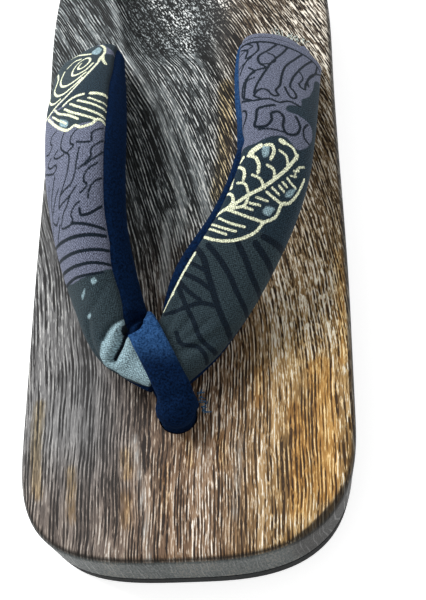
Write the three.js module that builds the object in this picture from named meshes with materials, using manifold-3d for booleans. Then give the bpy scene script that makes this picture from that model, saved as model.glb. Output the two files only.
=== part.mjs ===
// Left geta sandal of the low carved kind: a charred and brushed paulownia block on two black
// sponge rubber pads, a padded V strap of printed cotton backed with navy velveteen, and a
// velveteen toe loop. Three cord knots hold the straps from below.
// Millimetres. +X is the outer side of the foot, +Y the heel, +Z up. The origin lies on the
// floor under the middle of the length and of the width.

import * as THREE from 'three';
import { mergeVertices } from 'three/addons/utils/BufferGeometryUtils.js';
import Module from 'manifold-3d';

const wasm = await Module();
wasm.setup();

// Plan of the sole. Places along the foot are told by their distance from the toe.
const LENGTH = 255;
const HALF_WIDTH = 51.1;
const HEEL_HALF_WIDTH = 49.2;
const TOE_DEPTH = 45;
const TOE_POWER_INNER = 3.5;
const TOE_POWER_OUTER = 2.8;
const TAPER_FROM = 80;
const HEEL_DEPTH = 80;
const HEEL_POWER = 2.7;
const ARC_STEPS = 24;
const SIDE_STEPS = 9;

// Heights of the block. The rim climbs from the ball of the foot to the heel.
const TOE_HEIGHT = 28;
const HEEL_CLIMB = 11.2;
const CLIMB_FROM = 70;
const CLIMB_LENGTH = 190;
const PAD_THICKNESS = 7.5;
const EDGE_RADIUS = 2.5;
const EDGE_STEPS = 3;

// The side walls lean in towards the floor.
const INSET_AT_PAD = 1.7;
const INSET_AT_FLOOR = 2.5;
const GAP = 0.3;

// Footbed: a heel cup with a crisp inner rim, a low crest before it and a bank at the arch.
const CUP = { x: -4, fromToe: 218, halfWidth: 23, halfLength: 44, depth: 5, power: 2.6 };
const CUP_INNER_WALL = 6;
const CUP_OUTER_WALL = 1.6;
const CREST = { x: -2, fromToe: 166, halfWidth: 34, halfLength: 26, height: 1.8 };
const BANK = { x: -40, fromToe: 150, halfWidth: 20, halfLength: 34, height: 1.5 };
const BED_RINGS = 11;

// Arch hollow under the block, an arc from one side to the other.
const HOLLOW_CENTRE = 157;
const HOLLOW_HALF_CHORD = 41;
const HOLLOW_RISE = 15;
const HOLLOW_STEPS = 20;

// Holes for the loop and the strap ends.
const TOE_HOLE = { x: -2.6, fromToe: 46, radius: 6 };
const TOE_RECESS_RADIUS = 11;
const TOE_RECESS_TOP = 12.5;
const REAR_HOLE = { x: 34, fromToe: 175.6, halfWidth: 7.6, halfDepth: 5.2 };
const HOLE_STEPS = 20;

// Strap section: a soft rectangle with its seam above the middle of the thickness.
const SECTION_POWER = 2.6;
const SEAM_HEIGHT = 0.16;
const SEAM_GAP = 0.02;
const FACE_STEPS = 10;
const BACKING_STEPS = 12;
const RINGS_PER_ROW = 2;

// Middle line of each arm, from the lower end in its hole to the crossing in front. Heading is
// the turn of the arm in plan and lean is how far its outer edge hangs, both in degrees.
const OUTER_ARM = [
  { x: 34.0, fromToe: 175.6, z: 10.6, width: 13.2, thickness: 8.6, heading: 0, lean: 0 },
  { x: 34.0, fromToe: 175.6, z: 34.6, width: 13.2, thickness: 8.6, heading: 0, lean: 0 },
  { x: 33.4, fromToe: 173.8, z: 40.2, width: 21, thickness: 9.5, heading: -1, lean: 16 },
  { x: 32.2, fromToe: 167.4, z: 44.4, width: 28, thickness: 12.5, heading: -2, lean: 22 },
  { x: 31.4, fromToe: 158.0, z: 47.4, width: 28.5, thickness: 15, heading: -1, lean: 23 },
  { x: 31.2, fromToe: 143.0, z: 52.0, width: 27, thickness: 16, heading: -1, lean: 23 },
  { x: 31.1, fromToe: 127.0, z: 56.0, width: 24.5, thickness: 16, heading: -6, lean: 24 },
  { x: 28.6, fromToe: 110.5, z: 56.6, width: 24, thickness: 16, heading: -20, lean: 24 },
  { x: 21.6, fromToe: 95.4, z: 52.2, width: 25, thickness: 16, heading: -30, lean: 22 },
  { x: 10.6, fromToe: 80.6, z: 44.6, width: 27, thickness: 15, heading: -34, lean: 14 },
  { x: 2.8, fromToe: 68.0, z: 38.8, width: 22, thickness: 14, heading: -35, lean: 6 },
  { x: -5.6, fromToe: 56.6, z: 37.2, width: 16, thickness: 13, heading: -35, lean: 0 },
];
const INNER_ARM = [
  { x: -34.0, fromToe: 175.6, z: 10.6, width: 13.2, thickness: 8.6, heading: 0, lean: 0 },
  { x: -34.0, fromToe: 175.6, z: 34.6, width: 13.2, thickness: 8.6, heading: 0, lean: 0 },
  { x: -33.6, fromToe: 173.8, z: 39.4, width: 21, thickness: 10, heading: 0, lean: 20 },
  { x: -32.8, fromToe: 168.0, z: 43.8, width: 26, thickness: 14, heading: 1, lean: 30 },
  { x: -32.0, fromToe: 159.0, z: 47.6, width: 27.5, thickness: 17, heading: 2, lean: 35 },
  { x: -31.0, fromToe: 145.5, z: 52.4, width: 28.5, thickness: 20, heading: 3, lean: 38 },
  { x: -29.8, fromToe: 130.0, z: 55.8, width: 29, thickness: 20.5, heading: 5, lean: 41 },
  { x: -28.8, fromToe: 114.0, z: 56.2, width: 28, thickness: 20.5, heading: 7, lean: 47 },
  { x: -27.4, fromToe: 99.0, z: 52.6, width: 26, thickness: 20, heading: 10, lean: 56 },
  { x: -24.2, fromToe: 84.0, z: 46.4, width: 24, thickness: 19, heading: 17, lean: 60 },
  { x: -18.2, fromToe: 67.6, z: 39.8, width: 20, thickness: 15.5, heading: 38, lean: 38 },
  { x: -5.6, fromToe: 56.6, z: 37.2, width: 15, thickness: 13, heading: 58, lean: 0 },
];

// Toe loop: a band across the crossing, and a round stem in the toe hole.
const LOOP_HEADING = 27;
const LOOP_SIDESTEP = 1.8;
const LOOP_WIDTH = 10.6;
const LOOP_STEM_RADIUS = 5.6;
const LOOP_STEM_BOTTOM = 11.5;
const LOOP_ROUNDING = 1;
const LOOP_OUTLINE = [
  { ahead: 1.0, z: 28.6 },
  { ahead: 3.4, z: 33.0 },
  { ahead: 3.0, z: 38.5 },
  { ahead: -1.5, z: 43.4 },
  { ahead: -8.0, z: 46.0 },
  { ahead: -16.0, z: 47.4 },
  { ahead: -22.0, z: 47.0 },
  { ahead: -25.4, z: 44.0 },
  { ahead: -25.6, z: 36.0 },
  { ahead: -22.0, z: 30.6 },
  { ahead: -17.0, z: 28.6 },
];
const LOOP_PUFF = { x: -2.3, fromToe: 45.4, radius: 6.5, halfHeight: 6.6, z: 35.3 };

// Knots of the inner cords below the block.
const REAR_KNOT = { radius: 6.5, halfHeight: 3.6, z: 6.6 };
const TOE_KNOT = { radius: 8, halfHeight: 3.8, z: 7.3 };
const BALL_STEPS = 12;

const COLOURS = {
  charredWood: 0x4a3b2f,
  spongeRubber: 0x17181a,
  printedCotton: 0x6f6578,
  velveteen: 0x14284c,
  cord: 0x2b2621,
};

const radians = THREE.MathUtils.degToRad;
const alongY = (fromToe) => fromToe - LENGTH / 2;

function smooth(t) {
  const s = THREE.MathUtils.clamp(t, 0, 1);
  return s * s * (3 - 2 * s);
}

function signedPower(value, power) {
  return Math.sign(value) * Math.abs(value) ** power;
}

// Points round the sole, anticlockwise from above, with the unit vector pointing inwards.
function solePoints() {
  const points = [];
  for (let i = 0; i < ARC_STEPS; i += 1) {
    const angle = (Math.PI * i) / ARC_STEPS;
    const power = 2 * i < ARC_STEPS ? TOE_POWER_INNER : TOE_POWER_OUTER;
    const across = signedPower(Math.cos(angle), 2 / power);
    const ahead = signedPower(Math.sin(angle), 2 / power);
    points.push({ x: -HALF_WIDTH * across, y: alongY(TOE_DEPTH * (1 - ahead)) });
  }
  const heelStart = LENGTH - HEEL_DEPTH;
  const sideRow = (i) => {
    const fromToe = THREE.MathUtils.lerp(TOE_DEPTH, heelStart, i / SIDE_STEPS);
    const narrowing = smooth((fromToe - TAPER_FROM) / (heelStart - TAPER_FROM));
    return { half: HALF_WIDTH - (HALF_WIDTH - HEEL_HALF_WIDTH) * narrowing, y: alongY(fromToe) };
  };
  for (let i = 0; i < SIDE_STEPS; i += 1) {
    const row = sideRow(i);
    points.push({ x: row.half, y: row.y });
  }
  for (let i = 0; i < ARC_STEPS; i += 1) {
    const angle = (Math.PI * i) / ARC_STEPS;
    const across = signedPower(Math.cos(angle), 2 / HEEL_POWER);
    const behind = signedPower(Math.sin(angle), 2 / HEEL_POWER);
    points.push({ x: HEEL_HALF_WIDTH * across, y: alongY(heelStart + HEEL_DEPTH * behind) });
  }
  for (let i = SIDE_STEPS; i > 0; i -= 1) {
    const row = sideRow(i);
    points.push({ x: -row.half, y: row.y });
  }
  return points.map((point, i) => {
    const before = points[(i + points.length - 1) % points.length];
    const after = points[(i + 1) % points.length];
    const run = new THREE.Vector2(after.x - before.x, after.y - before.y).normalize();
    return { x: point.x, y: point.y, inX: -run.y, inY: run.x };
  });
}

const SOLE = solePoints();

function rimHeight(y) {
  const fromToe = y + LENGTH / 2;
  return TOE_HEIGHT + HEEL_CLIMB * smooth((fromToe - CLIMB_FROM) / CLIMB_LENGTH);
}

// Height of the walking surface, with its cup, crest and bank.
function bedHeight(x, y) {
  const fromToe = y + LENGTH / 2;
  const cupX = (x - CUP.x) / CUP.halfWidth;
  const cupY = (fromToe - CUP.fromToe) / CUP.halfLength;
  const reach = (Math.abs(cupX) ** CUP.power + Math.abs(cupY) ** CUP.power) ** (1 / CUP.power);
  const wall = THREE.MathUtils.lerp(CUP_INNER_WALL, CUP_OUTER_WALL, smooth((cupX + 1) / 2));
  const cup = reach < 1 ? CUP.depth * (1 - reach ** wall) : 0;
  const mound = (m) => {
    const away = Math.hypot((x - m.x) / m.halfWidth, (fromToe - m.fromToe) / m.halfLength);
    return m.height * smooth(1 - away);
  };
  return rimHeight(y) - cup + mound(CREST) + mound(BANK);
}

// Closed mesh from rings of equal length. Neighbours that share a wall are lofted with opposite
// diagonals, so that the wall is the same surface on both.
function loft(rings, flip = false) {
  const count = rings[0].length;
  const positions = rings.flat().flatMap((p) => [p.x, p.y, p.z]);
  const middle = (ring) => {
    const sum = ring.reduce((a, p) => [a[0] + p.x, a[1] + p.y, a[2] + p.z], [0, 0, 0]);
    return sum.map((value) => value / count);
  };
  const first = positions.length / 3;
  positions.push(...middle(rings[0]), ...middle(rings[rings.length - 1]));
  const faces = [];
  const top = (rings.length - 1) * count;
  for (let i = 0; i < count; i += 1) {
    const next = (i + 1) % count;
    for (let k = 0; k < rings.length - 1; k += 1) {
      const a = k * count + i;
      const b = k * count + next;
      const [c, d] = [a + count, b + count];
      faces.push(...(flip ? [a, b, c, b, d, c] : [a, b, d, a, d, c]));
    }
    faces.push(first, next, i);
    faces.push(first + 1, top + i, top + next);
  }
  const geometry = new THREE.BufferGeometry();
  geometry.setAttribute('position', new THREE.Float32BufferAttribute(positions, 3));
  geometry.setIndex(faces);
  return geometry;
}

function solid(geometry) {
  const bare = geometry.clone();
  bare.deleteAttribute('normal');
  bare.deleteAttribute('uv');
  const merged = mergeVertices(bare, 1e-4);
  return new wasm.Manifold(new wasm.Mesh({
    numProp: 3,
    vertProperties: new Float32Array(merged.attributes.position.array),
    triVerts: new Uint32Array(merged.index.array),
  }));
}

// Thin scraps that a cut leaves beside the main body are dropped.
function mainBody(body) {
  return body.decompose().reduce((best, piece) => (piece.volume() > best.volume() ? piece : best));
}

function geometryOf(body) {
  const mesh = body.getMesh();
  const geometry = new THREE.BufferGeometry();
  geometry.setAttribute('position', new THREE.BufferAttribute(mesh.vertProperties, 3));
  geometry.setIndex(new THREE.BufferAttribute(mesh.triVerts, 1));
  geometry.computeVertexNormals();
  return geometry;
}

function part(name, body, colour, roughness) {
  const material = new THREE.MeshStandardMaterial({ color: colour, roughness, metalness: 0 });
  const mesh = new THREE.Mesh(geometryOf(body), material);
  mesh.name = name;
  return mesh;
}

// Upright rod with an elliptical section.
function rod(x, fromToe, halfWidth, halfDepth, bottom, top) {
  const height = top - bottom;
  const geometry = new THREE.CylinderGeometry(1, 1, height, HOLE_STEPS);
  geometry.rotateX(Math.PI / 2);
  geometry.scale(halfWidth, halfDepth, 1);
  geometry.translate(x, alongY(fromToe), bottom + height / 2);
  return solid(geometry);
}

function soleRing(inset, heightAt) {
  return SOLE.map((p) => {
    const x = p.x + p.inX * inset;
    const y = p.y + p.inY * inset;
    return new THREE.Vector3(x, y, heightAt(x, y, p.y));
  });
}

// The arch hollow as a bar across the foot.
function archBar() {
  const radius = (HOLLOW_HALF_CHORD ** 2 + HOLLOW_RISE ** 2) / (2 * HOLLOW_RISE);
  const sweep = Math.asin(HOLLOW_HALF_CHORD / radius);
  const shape = new THREE.Shape();
  for (let i = 0; i <= HOLLOW_STEPS; i += 1) {
    const angle = THREE.MathUtils.lerp(-sweep, sweep, i / HOLLOW_STEPS);
    const y = alongY(HOLLOW_CENTRE) + radius * Math.sin(angle);
    const z = HOLLOW_RISE - radius * (1 - Math.cos(angle));
    if (i === 0) {
      shape.moveTo(y, -1);
    }
    shape.lineTo(y, z);
  }
  shape.lineTo(alongY(HOLLOW_CENTRE + HOLLOW_HALF_CHORD), -1);
  shape.closePath();
  const geometry = new THREE.ExtrudeGeometry(shape, {
    depth: 4 * HALF_WIDTH, bevelEnabled: false, steps: 1,
  });
  geometry.translate(0, 0, -2 * HALF_WIDTH);
  geometry.applyMatrix4(new THREE.Matrix4().set(0, 0, 1, 0, 1, 0, 0, 0, 0, 1, 0, 0, 0, 0, 0, 1));
  return solid(geometry);
}

function woodBase() {
  const rings = [soleRing(INSET_AT_PAD, () => PAD_THICKNESS)];
  for (let i = 0; i <= EDGE_STEPS; i += 1) {
    const angle = (Math.PI / 2) * (i / EDGE_STEPS);
    const inset = EDGE_RADIUS * (1 - Math.cos(angle));
    const drop = EDGE_RADIUS * (1 - Math.sin(angle));
    rings.push(soleRing(inset, (x, y, edgeY) => rimHeight(edgeY) - drop));
  }
  const shelf = soleRing(EDGE_RADIUS, (x, y) => bedHeight(x, y));
  for (let i = 1; i <= BED_RINGS; i += 1) {
    const scale = 1 - i / (BED_RINGS + 1);
    rings.push(shelf.map((p) => {
      const x = p.x * scale;
      const y = p.y * scale;
      return new THREE.Vector3(x, y, bedHeight(x, y));
    }));
  }
  const blank = solid(loft(rings));
  const high = TOE_HEIGHT + 2 * HEEL_CLIMB;
  const toeHole = rod(TOE_HOLE.x, TOE_HOLE.fromToe, TOE_HOLE.radius, TOE_HOLE.radius, 0, high);
  const recess = rod(
    TOE_HOLE.x, TOE_HOLE.fromToe, TOE_RECESS_RADIUS, TOE_RECESS_RADIUS, 0, TOE_RECESS_TOP,
  );
  const rearHoles = [-1, 1].map((side) => rod(
    side * REAR_HOLE.x, REAR_HOLE.fromToe, REAR_HOLE.halfWidth, REAR_HOLE.halfDepth, 0, high,
  ));
  return [archBar(), toeHole, recess, ...rearHoles].reduce((body, cut) => body.subtract(cut), blank);
}

// One rubber pad, cut from the full sole outline between two places along the foot.
function rubberPad(from, to) {
  const top = PAD_THICKNESS - GAP;
  const sheet = solid(loft([
    soleRing(INSET_AT_FLOOR, () => 0),
    soleRing(INSET_AT_PAD, () => top),
  ]));
  const keep = new THREE.BoxGeometry(4 * HALF_WIDTH, to - from, 4 * PAD_THICKNESS);
  keep.translate(0, alongY((from + to) / 2), 0);
  const recess = rod(
    TOE_HOLE.x, TOE_HOLE.fromToe, TOE_RECESS_RADIUS, TOE_RECESS_RADIUS, -1, PAD_THICKNESS,
  );
  return sheet.intersect(solid(keep)).subtract(archBar()).subtract(recess);
}

// Smooth row of stations through the rows of an arm's table.
function stations(rows) {
  const columns = Object.keys(rows[0]);
  const at = (i) => rows[THREE.MathUtils.clamp(i, 0, rows.length - 1)];
  const result = [];
  for (let i = 0; i < rows.length - 1; i += 1) {
    for (let k = 0; k < RINGS_PER_ROW; k += 1) {
      const t = k / RINGS_PER_ROW;
      const station = {};
      for (const name of columns) {
        const [p, q, r, s] = [at(i - 1)[name], at(i)[name], at(i + 1)[name], at(i + 2)[name]];
        const bend = (r - p) * t + (2 * p - 5 * q + 4 * r - s) * t ** 2 + (3 * q - p - 3 * r + s) * t ** 3;
        station[name] = q + bend / 2;
      }
      result.push(station);
    }
  }
  result.push(at(rows.length - 1));
  return result;
}

// Outline of a layer of the strap, in shares of half the width and half the thickness.
function sectionOutline(layer) {
  const seam = SEAM_HEIGHT + (layer === 'face' ? SEAM_GAP : -SEAM_GAP);
  const start = Math.asin(signedPower(seam, SECTION_POWER / 2));
  const { from, to, steps } = {
    face: { from: start, to: Math.PI - start, steps: FACE_STEPS },
    backing: { from: Math.PI - start, to: 2 * Math.PI + start, steps: BACKING_STEPS },
    whole: { from: 0, to: 2 * Math.PI, steps: FACE_STEPS + BACKING_STEPS },
  }[layer];
  const count = layer === 'whole' ? steps : steps + 1;
  return Array.from({ length: count }, (_, i) => {
    const angle = THREE.MathUtils.lerp(from, to, i / steps);
    return {
      across: signedPower(Math.cos(angle), 2 / SECTION_POWER),
      up: signedPower(Math.sin(angle), 2 / SECTION_POWER),
      out: { across: Math.cos(angle), up: Math.sin(angle) },
    };
  });
}

// One arm of the strap, or one layer of it, grown by a clearance where it cuts a neighbour.
function arm(rows, side, layer, grow = 0) {
  const path = stations(rows);
  const outline = sectionOutline(layer);
  const last = path.length - 1;
  const point = (s) => new THREE.Vector3(s.x, alongY(s.fromToe), s.z);
  const rings = path.map((station, i) => {
    const before = point(path[Math.max(i - 1, 0)]);
    const after = point(path[Math.min(i + 1, last)]);
    const run = after.sub(before).normalize();
    const heading = radians(station.heading);
    const lean = radians(station.lean) * side;
    const level = new THREE.Vector3(Math.cos(heading), Math.sin(heading), 0);
    const across = level.multiplyScalar(Math.cos(lean));
    across.z -= Math.sin(lean);
    across.addScaledVector(run, -across.dot(run)).normalize();
    const up = new THREE.Vector3().crossVectors(run, across);
    const endGrow = { 0: -grow, [last]: grow }[i] ?? 0;
    return outline.map((p, k) => {
      const onSeam = layer !== 'whole' && (k === 0 || k === outline.length - 1);
      const seamGrow = layer === 'face' ? -grow : grow;
      const sideways = (p.across * station.width) / 2 + p.out.across * grow;
      const upwards = (p.up * station.thickness) / 2 + (onSeam ? seamGrow : p.out.up * grow);
      return point(station)
        .addScaledVector(run, endGrow)
        .addScaledVector(across, sideways)
        .addScaledVector(up, upwards);
    });
  });
  return solid(loft(rings, layer === 'backing'));
}

function bothArms(layer, grow = 0) {
  return arm(OUTER_ARM, 1, layer, grow).add(arm(INNER_ARM, -1, layer, grow));
}

// A ball pressed flat or drawn tall, as of a knot or the puff of the loop.
function ball(x, fromToe, size) {
  const geometry = new THREE.SphereGeometry(1, BALL_STEPS, BALL_STEPS / 2);
  geometry.rotateX(Math.PI / 2);
  geometry.scale(size.radius, size.radius, size.halfHeight);
  geometry.translate(x, alongY(fromToe), size.z);
  return solid(geometry);
}

function toeLoop(straps) {
  const shape = new THREE.Shape(LOOP_OUTLINE.map((p) => new THREE.Vector2(p.ahead, p.z)));
  const geometry = new THREE.ExtrudeGeometry(shape, {
    depth: LOOP_WIDTH - 2 * LOOP_ROUNDING,
    bevelEnabled: true,
    bevelThickness: LOOP_ROUNDING,
    bevelSize: LOOP_ROUNDING,
    bevelOffset: -LOOP_ROUNDING,
    bevelSegments: 2,
  });
  geometry.translate(0, 0, LOOP_ROUNDING - LOOP_WIDTH / 2);
  geometry.applyMatrix4(new THREE.Matrix4().set(0, 0, -1, 0, -1, 0, 0, 0, 0, 1, 0, 0, 0, 0, 0, 1));
  geometry.translate(LOOP_SIDESTEP, 0, 0);
  geometry.rotateZ(radians(LOOP_HEADING));
  geometry.translate(TOE_HOLE.x, alongY(TOE_HOLE.fromToe), 0);
  const stem = rod(
    TOE_HOLE.x, TOE_HOLE.fromToe, LOOP_STEM_RADIUS, LOOP_STEM_RADIUS,
    LOOP_STEM_BOTTOM, TOE_HEIGHT + EDGE_RADIUS,
  );
  const puff = ball(LOOP_PUFF.x, LOOP_PUFF.fromToe, LOOP_PUFF);
  return mainBody(solid(geometry).add(stem).add(puff).subtract(straps));
}

const face = bothArms('face');
const backing = mainBody(bothArms('backing').subtract(bothArms('face', GAP)));
const loop = toeLoop(bothArms('whole', GAP));

const geta = new THREE.Group();
geta.add(part('wood_base', woodBase(), COLOURS.charredWood, 0.75));
geta.add(part('outsole_forefoot', rubberPad(-1, HOLLOW_CENTRE), COLOURS.spongeRubber, 0.9));
geta.add(part('outsole_heel', rubberPad(HOLLOW_CENTRE, LENGTH + 1), COLOURS.spongeRubber, 0.9));
geta.add(part('strap_face', face, COLOURS.printedCotton, 0.85));
geta.add(part('strap_backing', backing, COLOURS.velveteen, 0.95));
geta.add(part('toe_loop', loop, COLOURS.velveteen, 0.95));
geta.add(part('toe_knot', ball(TOE_HOLE.x, TOE_HOLE.fromToe, TOE_KNOT), COLOURS.cord, 0.9));
geta.add(part('rear_knot_outer', ball(REAR_HOLE.x, REAR_HOLE.fromToe, REAR_KNOT), COLOURS.cord, 0.9));
geta.add(part('rear_knot_inner', ball(-REAR_HOLE.x, REAR_HOLE.fromToe, REAR_KNOT), COLOURS.cord, 0.9));

export default geta;
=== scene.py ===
# %% [markdown]
# # A geta sandal, dressed for a portrait
#
# The CAD model gives the solids of a left geta: a carved paulownia block, two rubber pads, a
# padded strap with two layers, a toe loop and three knots. This script lays the visible skin
# over them. Everything is measured in millimetres and turned to metres at the last moment,
# because that is how a maker of sandals would note it down.

import math
import random
from functools import partial

import bmesh
import bpy
import numpy as np
from mathutils import Matrix, Vector


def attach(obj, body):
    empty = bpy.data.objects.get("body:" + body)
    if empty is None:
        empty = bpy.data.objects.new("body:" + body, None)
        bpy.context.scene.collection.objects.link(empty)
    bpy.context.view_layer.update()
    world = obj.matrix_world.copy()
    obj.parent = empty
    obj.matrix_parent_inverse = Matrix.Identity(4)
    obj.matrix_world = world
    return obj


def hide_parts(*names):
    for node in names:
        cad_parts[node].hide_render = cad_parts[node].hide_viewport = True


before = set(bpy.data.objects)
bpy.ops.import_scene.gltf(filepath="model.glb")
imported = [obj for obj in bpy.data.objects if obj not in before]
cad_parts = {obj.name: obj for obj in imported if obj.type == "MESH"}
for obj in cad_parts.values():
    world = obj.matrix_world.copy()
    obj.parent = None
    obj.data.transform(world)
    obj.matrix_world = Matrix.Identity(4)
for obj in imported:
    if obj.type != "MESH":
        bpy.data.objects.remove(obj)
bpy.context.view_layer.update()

# %% [markdown]
# ## Camera
#
# The portrait looks down on the sandal from in front of the toe, a little from the outer side,
# with the camera rolled so that the sole stands upright in a tall picture. The three axes below
# are the camera's own right, up and back, written in the frame of the sandal. A camera could
# also be aimed with a Track To constraint, but that can't hold a roll.

# %% Camera
CAMERA_PLACE = (0.05772447, -0.25693489, 0.41405156)
CAMERA_RIGHT = (0.9921133, 0.005097, -0.12524067)
CAMERA_UP = (0.05616052, 0.87519328, 0.48050257)
CAMERA_BACK = (0.11205891, -0.48374657, 0.86800464)

lens = bpy.data.cameras.new("portrait")
lens.lens = 84
lens.sensor_width = 36
camera = bpy.data.objects.new("portrait", lens)
bpy.context.scene.collection.objects.link(camera)
camera.matrix_world = Matrix.Translation(CAMERA_PLACE) @ Matrix(
    (CAMERA_RIGHT, CAMERA_UP, CAMERA_BACK)
).transposed().to_4x4()
bpy.context.scene.camera = camera

# %% [markdown]
# ## Meshes from rings
#
# Every soft or carved form here is a skin over a row of rings, like the ribs of a boat. One
# function draws it with bmesh: a flat grid is bent over the rings, its long sides are welded to
# close the tube, and both open ends are filled and poked. Extruding a circle ring by ring gives
# the same mesh, but takes much longer with hundreds of rings. The rings themselves are plain
# arrays in millimetres, so the same numbers can be read by a carver.

# %% Skin over rings
MM = 0.001
HEEL_END = 127.5  # the toe and heel ends lie this far from the origin
SHARP_ANGLE = math.radians(38)  # edges that bend more than this stay crisp


def skin(name, rings, marks=None):
    """Closed object from rings of equal length, in mm. Marks are numbers for each point."""
    places = np.asarray(rings) * MM
    places = np.concatenate([places, places[:, :1]], axis=1)
    bm = bmesh.new()
    layers = [bm.verts.layers.float.new(kind) for kind in marks or ()]
    rows, columns = places.shape[:2]
    bmesh.ops.create_grid(bm, x_segments=rows - 1, y_segments=columns - 1, size=1)
    in_order = sorted(bm.verts, key=lambda v: (round(v.co.x, 5), round(v.co.y, 5)))
    for vert, place in zip(in_order, places.reshape(-1, 3)):
        vert.co = place
    for layer, values in zip(layers, (marks or {}).values()):
        values = np.concatenate([values, values[:, :1]], axis=1)
        for vert, value in zip(in_order, values.ravel().tolist()):
            vert[layer] = value
    bmesh.ops.remove_doubles(bm, verts=bm.verts, dist=1e-7)
    open_edges = [edge for edge in bm.edges if edge.is_boundary]
    lids = bmesh.ops.holes_fill(bm, edges=open_edges, sides=0)["faces"]
    bmesh.ops.poke(bm, faces=lids)
    bmesh.ops.recalc_face_normals(bm, faces=bm.faces)
    return finished(bm, name)


def finished(bm, name):
    """Turns a bmesh into an object with smooth faces."""
    mesh = bpy.data.meshes.new(name)
    for face in bm.faces:
        face.smooth = True
    bm.to_mesh(mesh)
    bm.free()
    obj = bpy.data.objects.new(name, mesh)
    bpy.context.scene.collection.objects.link(obj)
    return obj

# %% Cutting and reading meshes
def settle(obj):
    """Makes the live modifiers of an object part of its mesh."""
    graph = bpy.context.evaluated_depsgraph_get()
    mesh = bpy.data.meshes.new_from_object(obj.evaluated_get(graph))
    obj.modifiers.clear()
    obj.data = mesh
    return obj


def carve(obj, *cutters):
    """Cuts the cutters out of an object and removes them."""
    for cutter in cutters:
        cut = obj.modifiers.new("cut", "BOOLEAN")
        cut.operation, cut.solver, cut.object = "DIFFERENCE", "EXACT", cutter
    settle(obj)
    for cutter in cutters:
        bpy.data.objects.remove(cutter)
    return obj


def points_of(obj):
    """The vertices of an object in millimetres, as an array."""
    flat = np.empty(len(obj.data.vertices) * 3)
    obj.data.vertices.foreach_get("co", flat)
    return flat.reshape(-1, 3) / MM


def mark(obj, name, values):
    """Keeps one number for each vertex, which a material can read by its name."""
    layer = obj.data.attributes.new(name, "FLOAT", "POINT")
    layer.data.foreach_set("value", np.asarray(values, dtype=np.float32))

# %% [markdown]
# ## Materials from nodes
#
# Each finish is a small tree of nodes. One helper adds a node, sets its own fields and fills its
# inputs, and another turns a colour as it is written for the screen into the linear numbers that
# the shader works with.

# %% Nodes and colours
def paint(code):
    """Linear colour for a screen colour such as "6f5a44"."""
    shares = [int(code[i : i + 2], 16) / 255 for i in (0, 2, 4)]
    return (*(c / 12.92 if c <= 0.04045 else ((c + 0.055) / 1.055) ** 2.4 for c in shares), 1)


def plug(socket, value):
    """Fills a socket with a value, or links it to a socket or to the first output of a node."""
    if isinstance(value, bpy.types.Node):
        value = next(out for out in value.outputs if out.enabled)
    if isinstance(value, bpy.types.NodeSocket):
        socket.id_data.links.new(value, socket)
    else:
        socket.default_value = value


def add_node(tree, kind, *values, stops=(), **settings):
    """Adds a node, such as "Math ADD". Values fill its inputs in their order, settings fill the
    input or the field of that name, and stops are places and colours of a ramp."""
    kind, _, operation = kind.partition(" ")
    made = tree.nodes.new("ShaderNode" + kind)
    if operation:
        made.operation = operation
    for field in [name for name in settings if name not in made.inputs]:
        setattr(made, field, settings.pop(field))
    for socket, value in zip([place for place in made.inputs if place.enabled], values):
        plug(socket, value)
    for place, value in settings.items():
        plug(made.inputs[place], value)
    for i, (place, colour) in enumerate(stops):
        ramp = made.color_ramp.elements
        stop = ramp[i] if i < len(ramp) else ramp.new(place)
        stop.position, stop.color = place, colour
    return made


def finish(shader, **sockets):
    """Fills inputs of a shader, whose names are written with _ for a space."""
    for place, value in sockets.items():
        plug(shader.inputs[place.replace("_", " ")], value)


def new_finish(name, **settings):
    """A material with one Principled shader, and a way to add nodes to it."""
    material = bpy.data.materials.new(name)
    material.use_nodes = True
    tree = material.node_tree
    shader = tree.nodes["Principled BSDF"]
    finish(shader, **settings)
    return material, shader, partial(add_node, tree)


def dress(material, *pieces):
    """Gives pieces one material, in place of any that they have."""
    for piece in pieces:
        piece.data.materials.clear()
        piece.data.materials.append(material)


SOFT = {"interpolation_type": "SMOOTHSTEP"}  # for a mask whose edge is soft

# %% [markdown]
# ## Strokes drawn one by one
#
# Streaks of the wood, the print on the cloth and the creases are all drawn in the same way: a
# short table of points gives a stroke, a smooth curve runs through them, and each point of a mesh
# gets its distance to the nearest stroke. A distance changes evenly between two points of the
# mesh, so a line stays crisp even though the mesh is no finer than the line is wide. A painted
# colour would blur.

# %% Curves and distances
def flow(rows, places):
    """Smooth curve through rows of numbers, at places counted in rows (Catmull and Rom)."""
    rows = np.asarray(rows, dtype=float)
    last = len(rows) - 1
    i = np.minimum(places.astype(int), last - 1)
    t = (places - i)[:, None]
    p, q, r, s = (rows[np.clip(i + k, 0, last)] for k in (-1, 0, 1, 2))
    bend = (r - p) * t + (2 * p - 5 * q + 4 * r - s) * t**2 + (3 * q - p - 3 * r + s) * t**3
    return q + bend / 2


def unit(vectors):
    return vectors / np.linalg.norm(vectors, axis=-1, keepdims=True)


STROKE_STEPS = 9
FAR = 99.0  # stands for no stroke near, in mm
STROKE_REACH = 6  # how far beyond its own size a stroke is measured


def read_strokes(text):
    """Strokes from a text. A slash parts them, and each has its numbers and then its points."""
    strokes = []
    for row in text.split("/"):
        cells = [tuple(map(float, cell.split(","))) for cell in row.split()]
        strokes.append([cell if len(cell) == 2 else cell[0] for cell in cells])
    return strokes


def drawn(stroke):
    """Polyline of a smooth curve through the points of a stroke."""
    return flow(stroke, np.linspace(0, len(stroke) - 1, STROKE_STEPS * (len(stroke) - 1) + 1))


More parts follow.
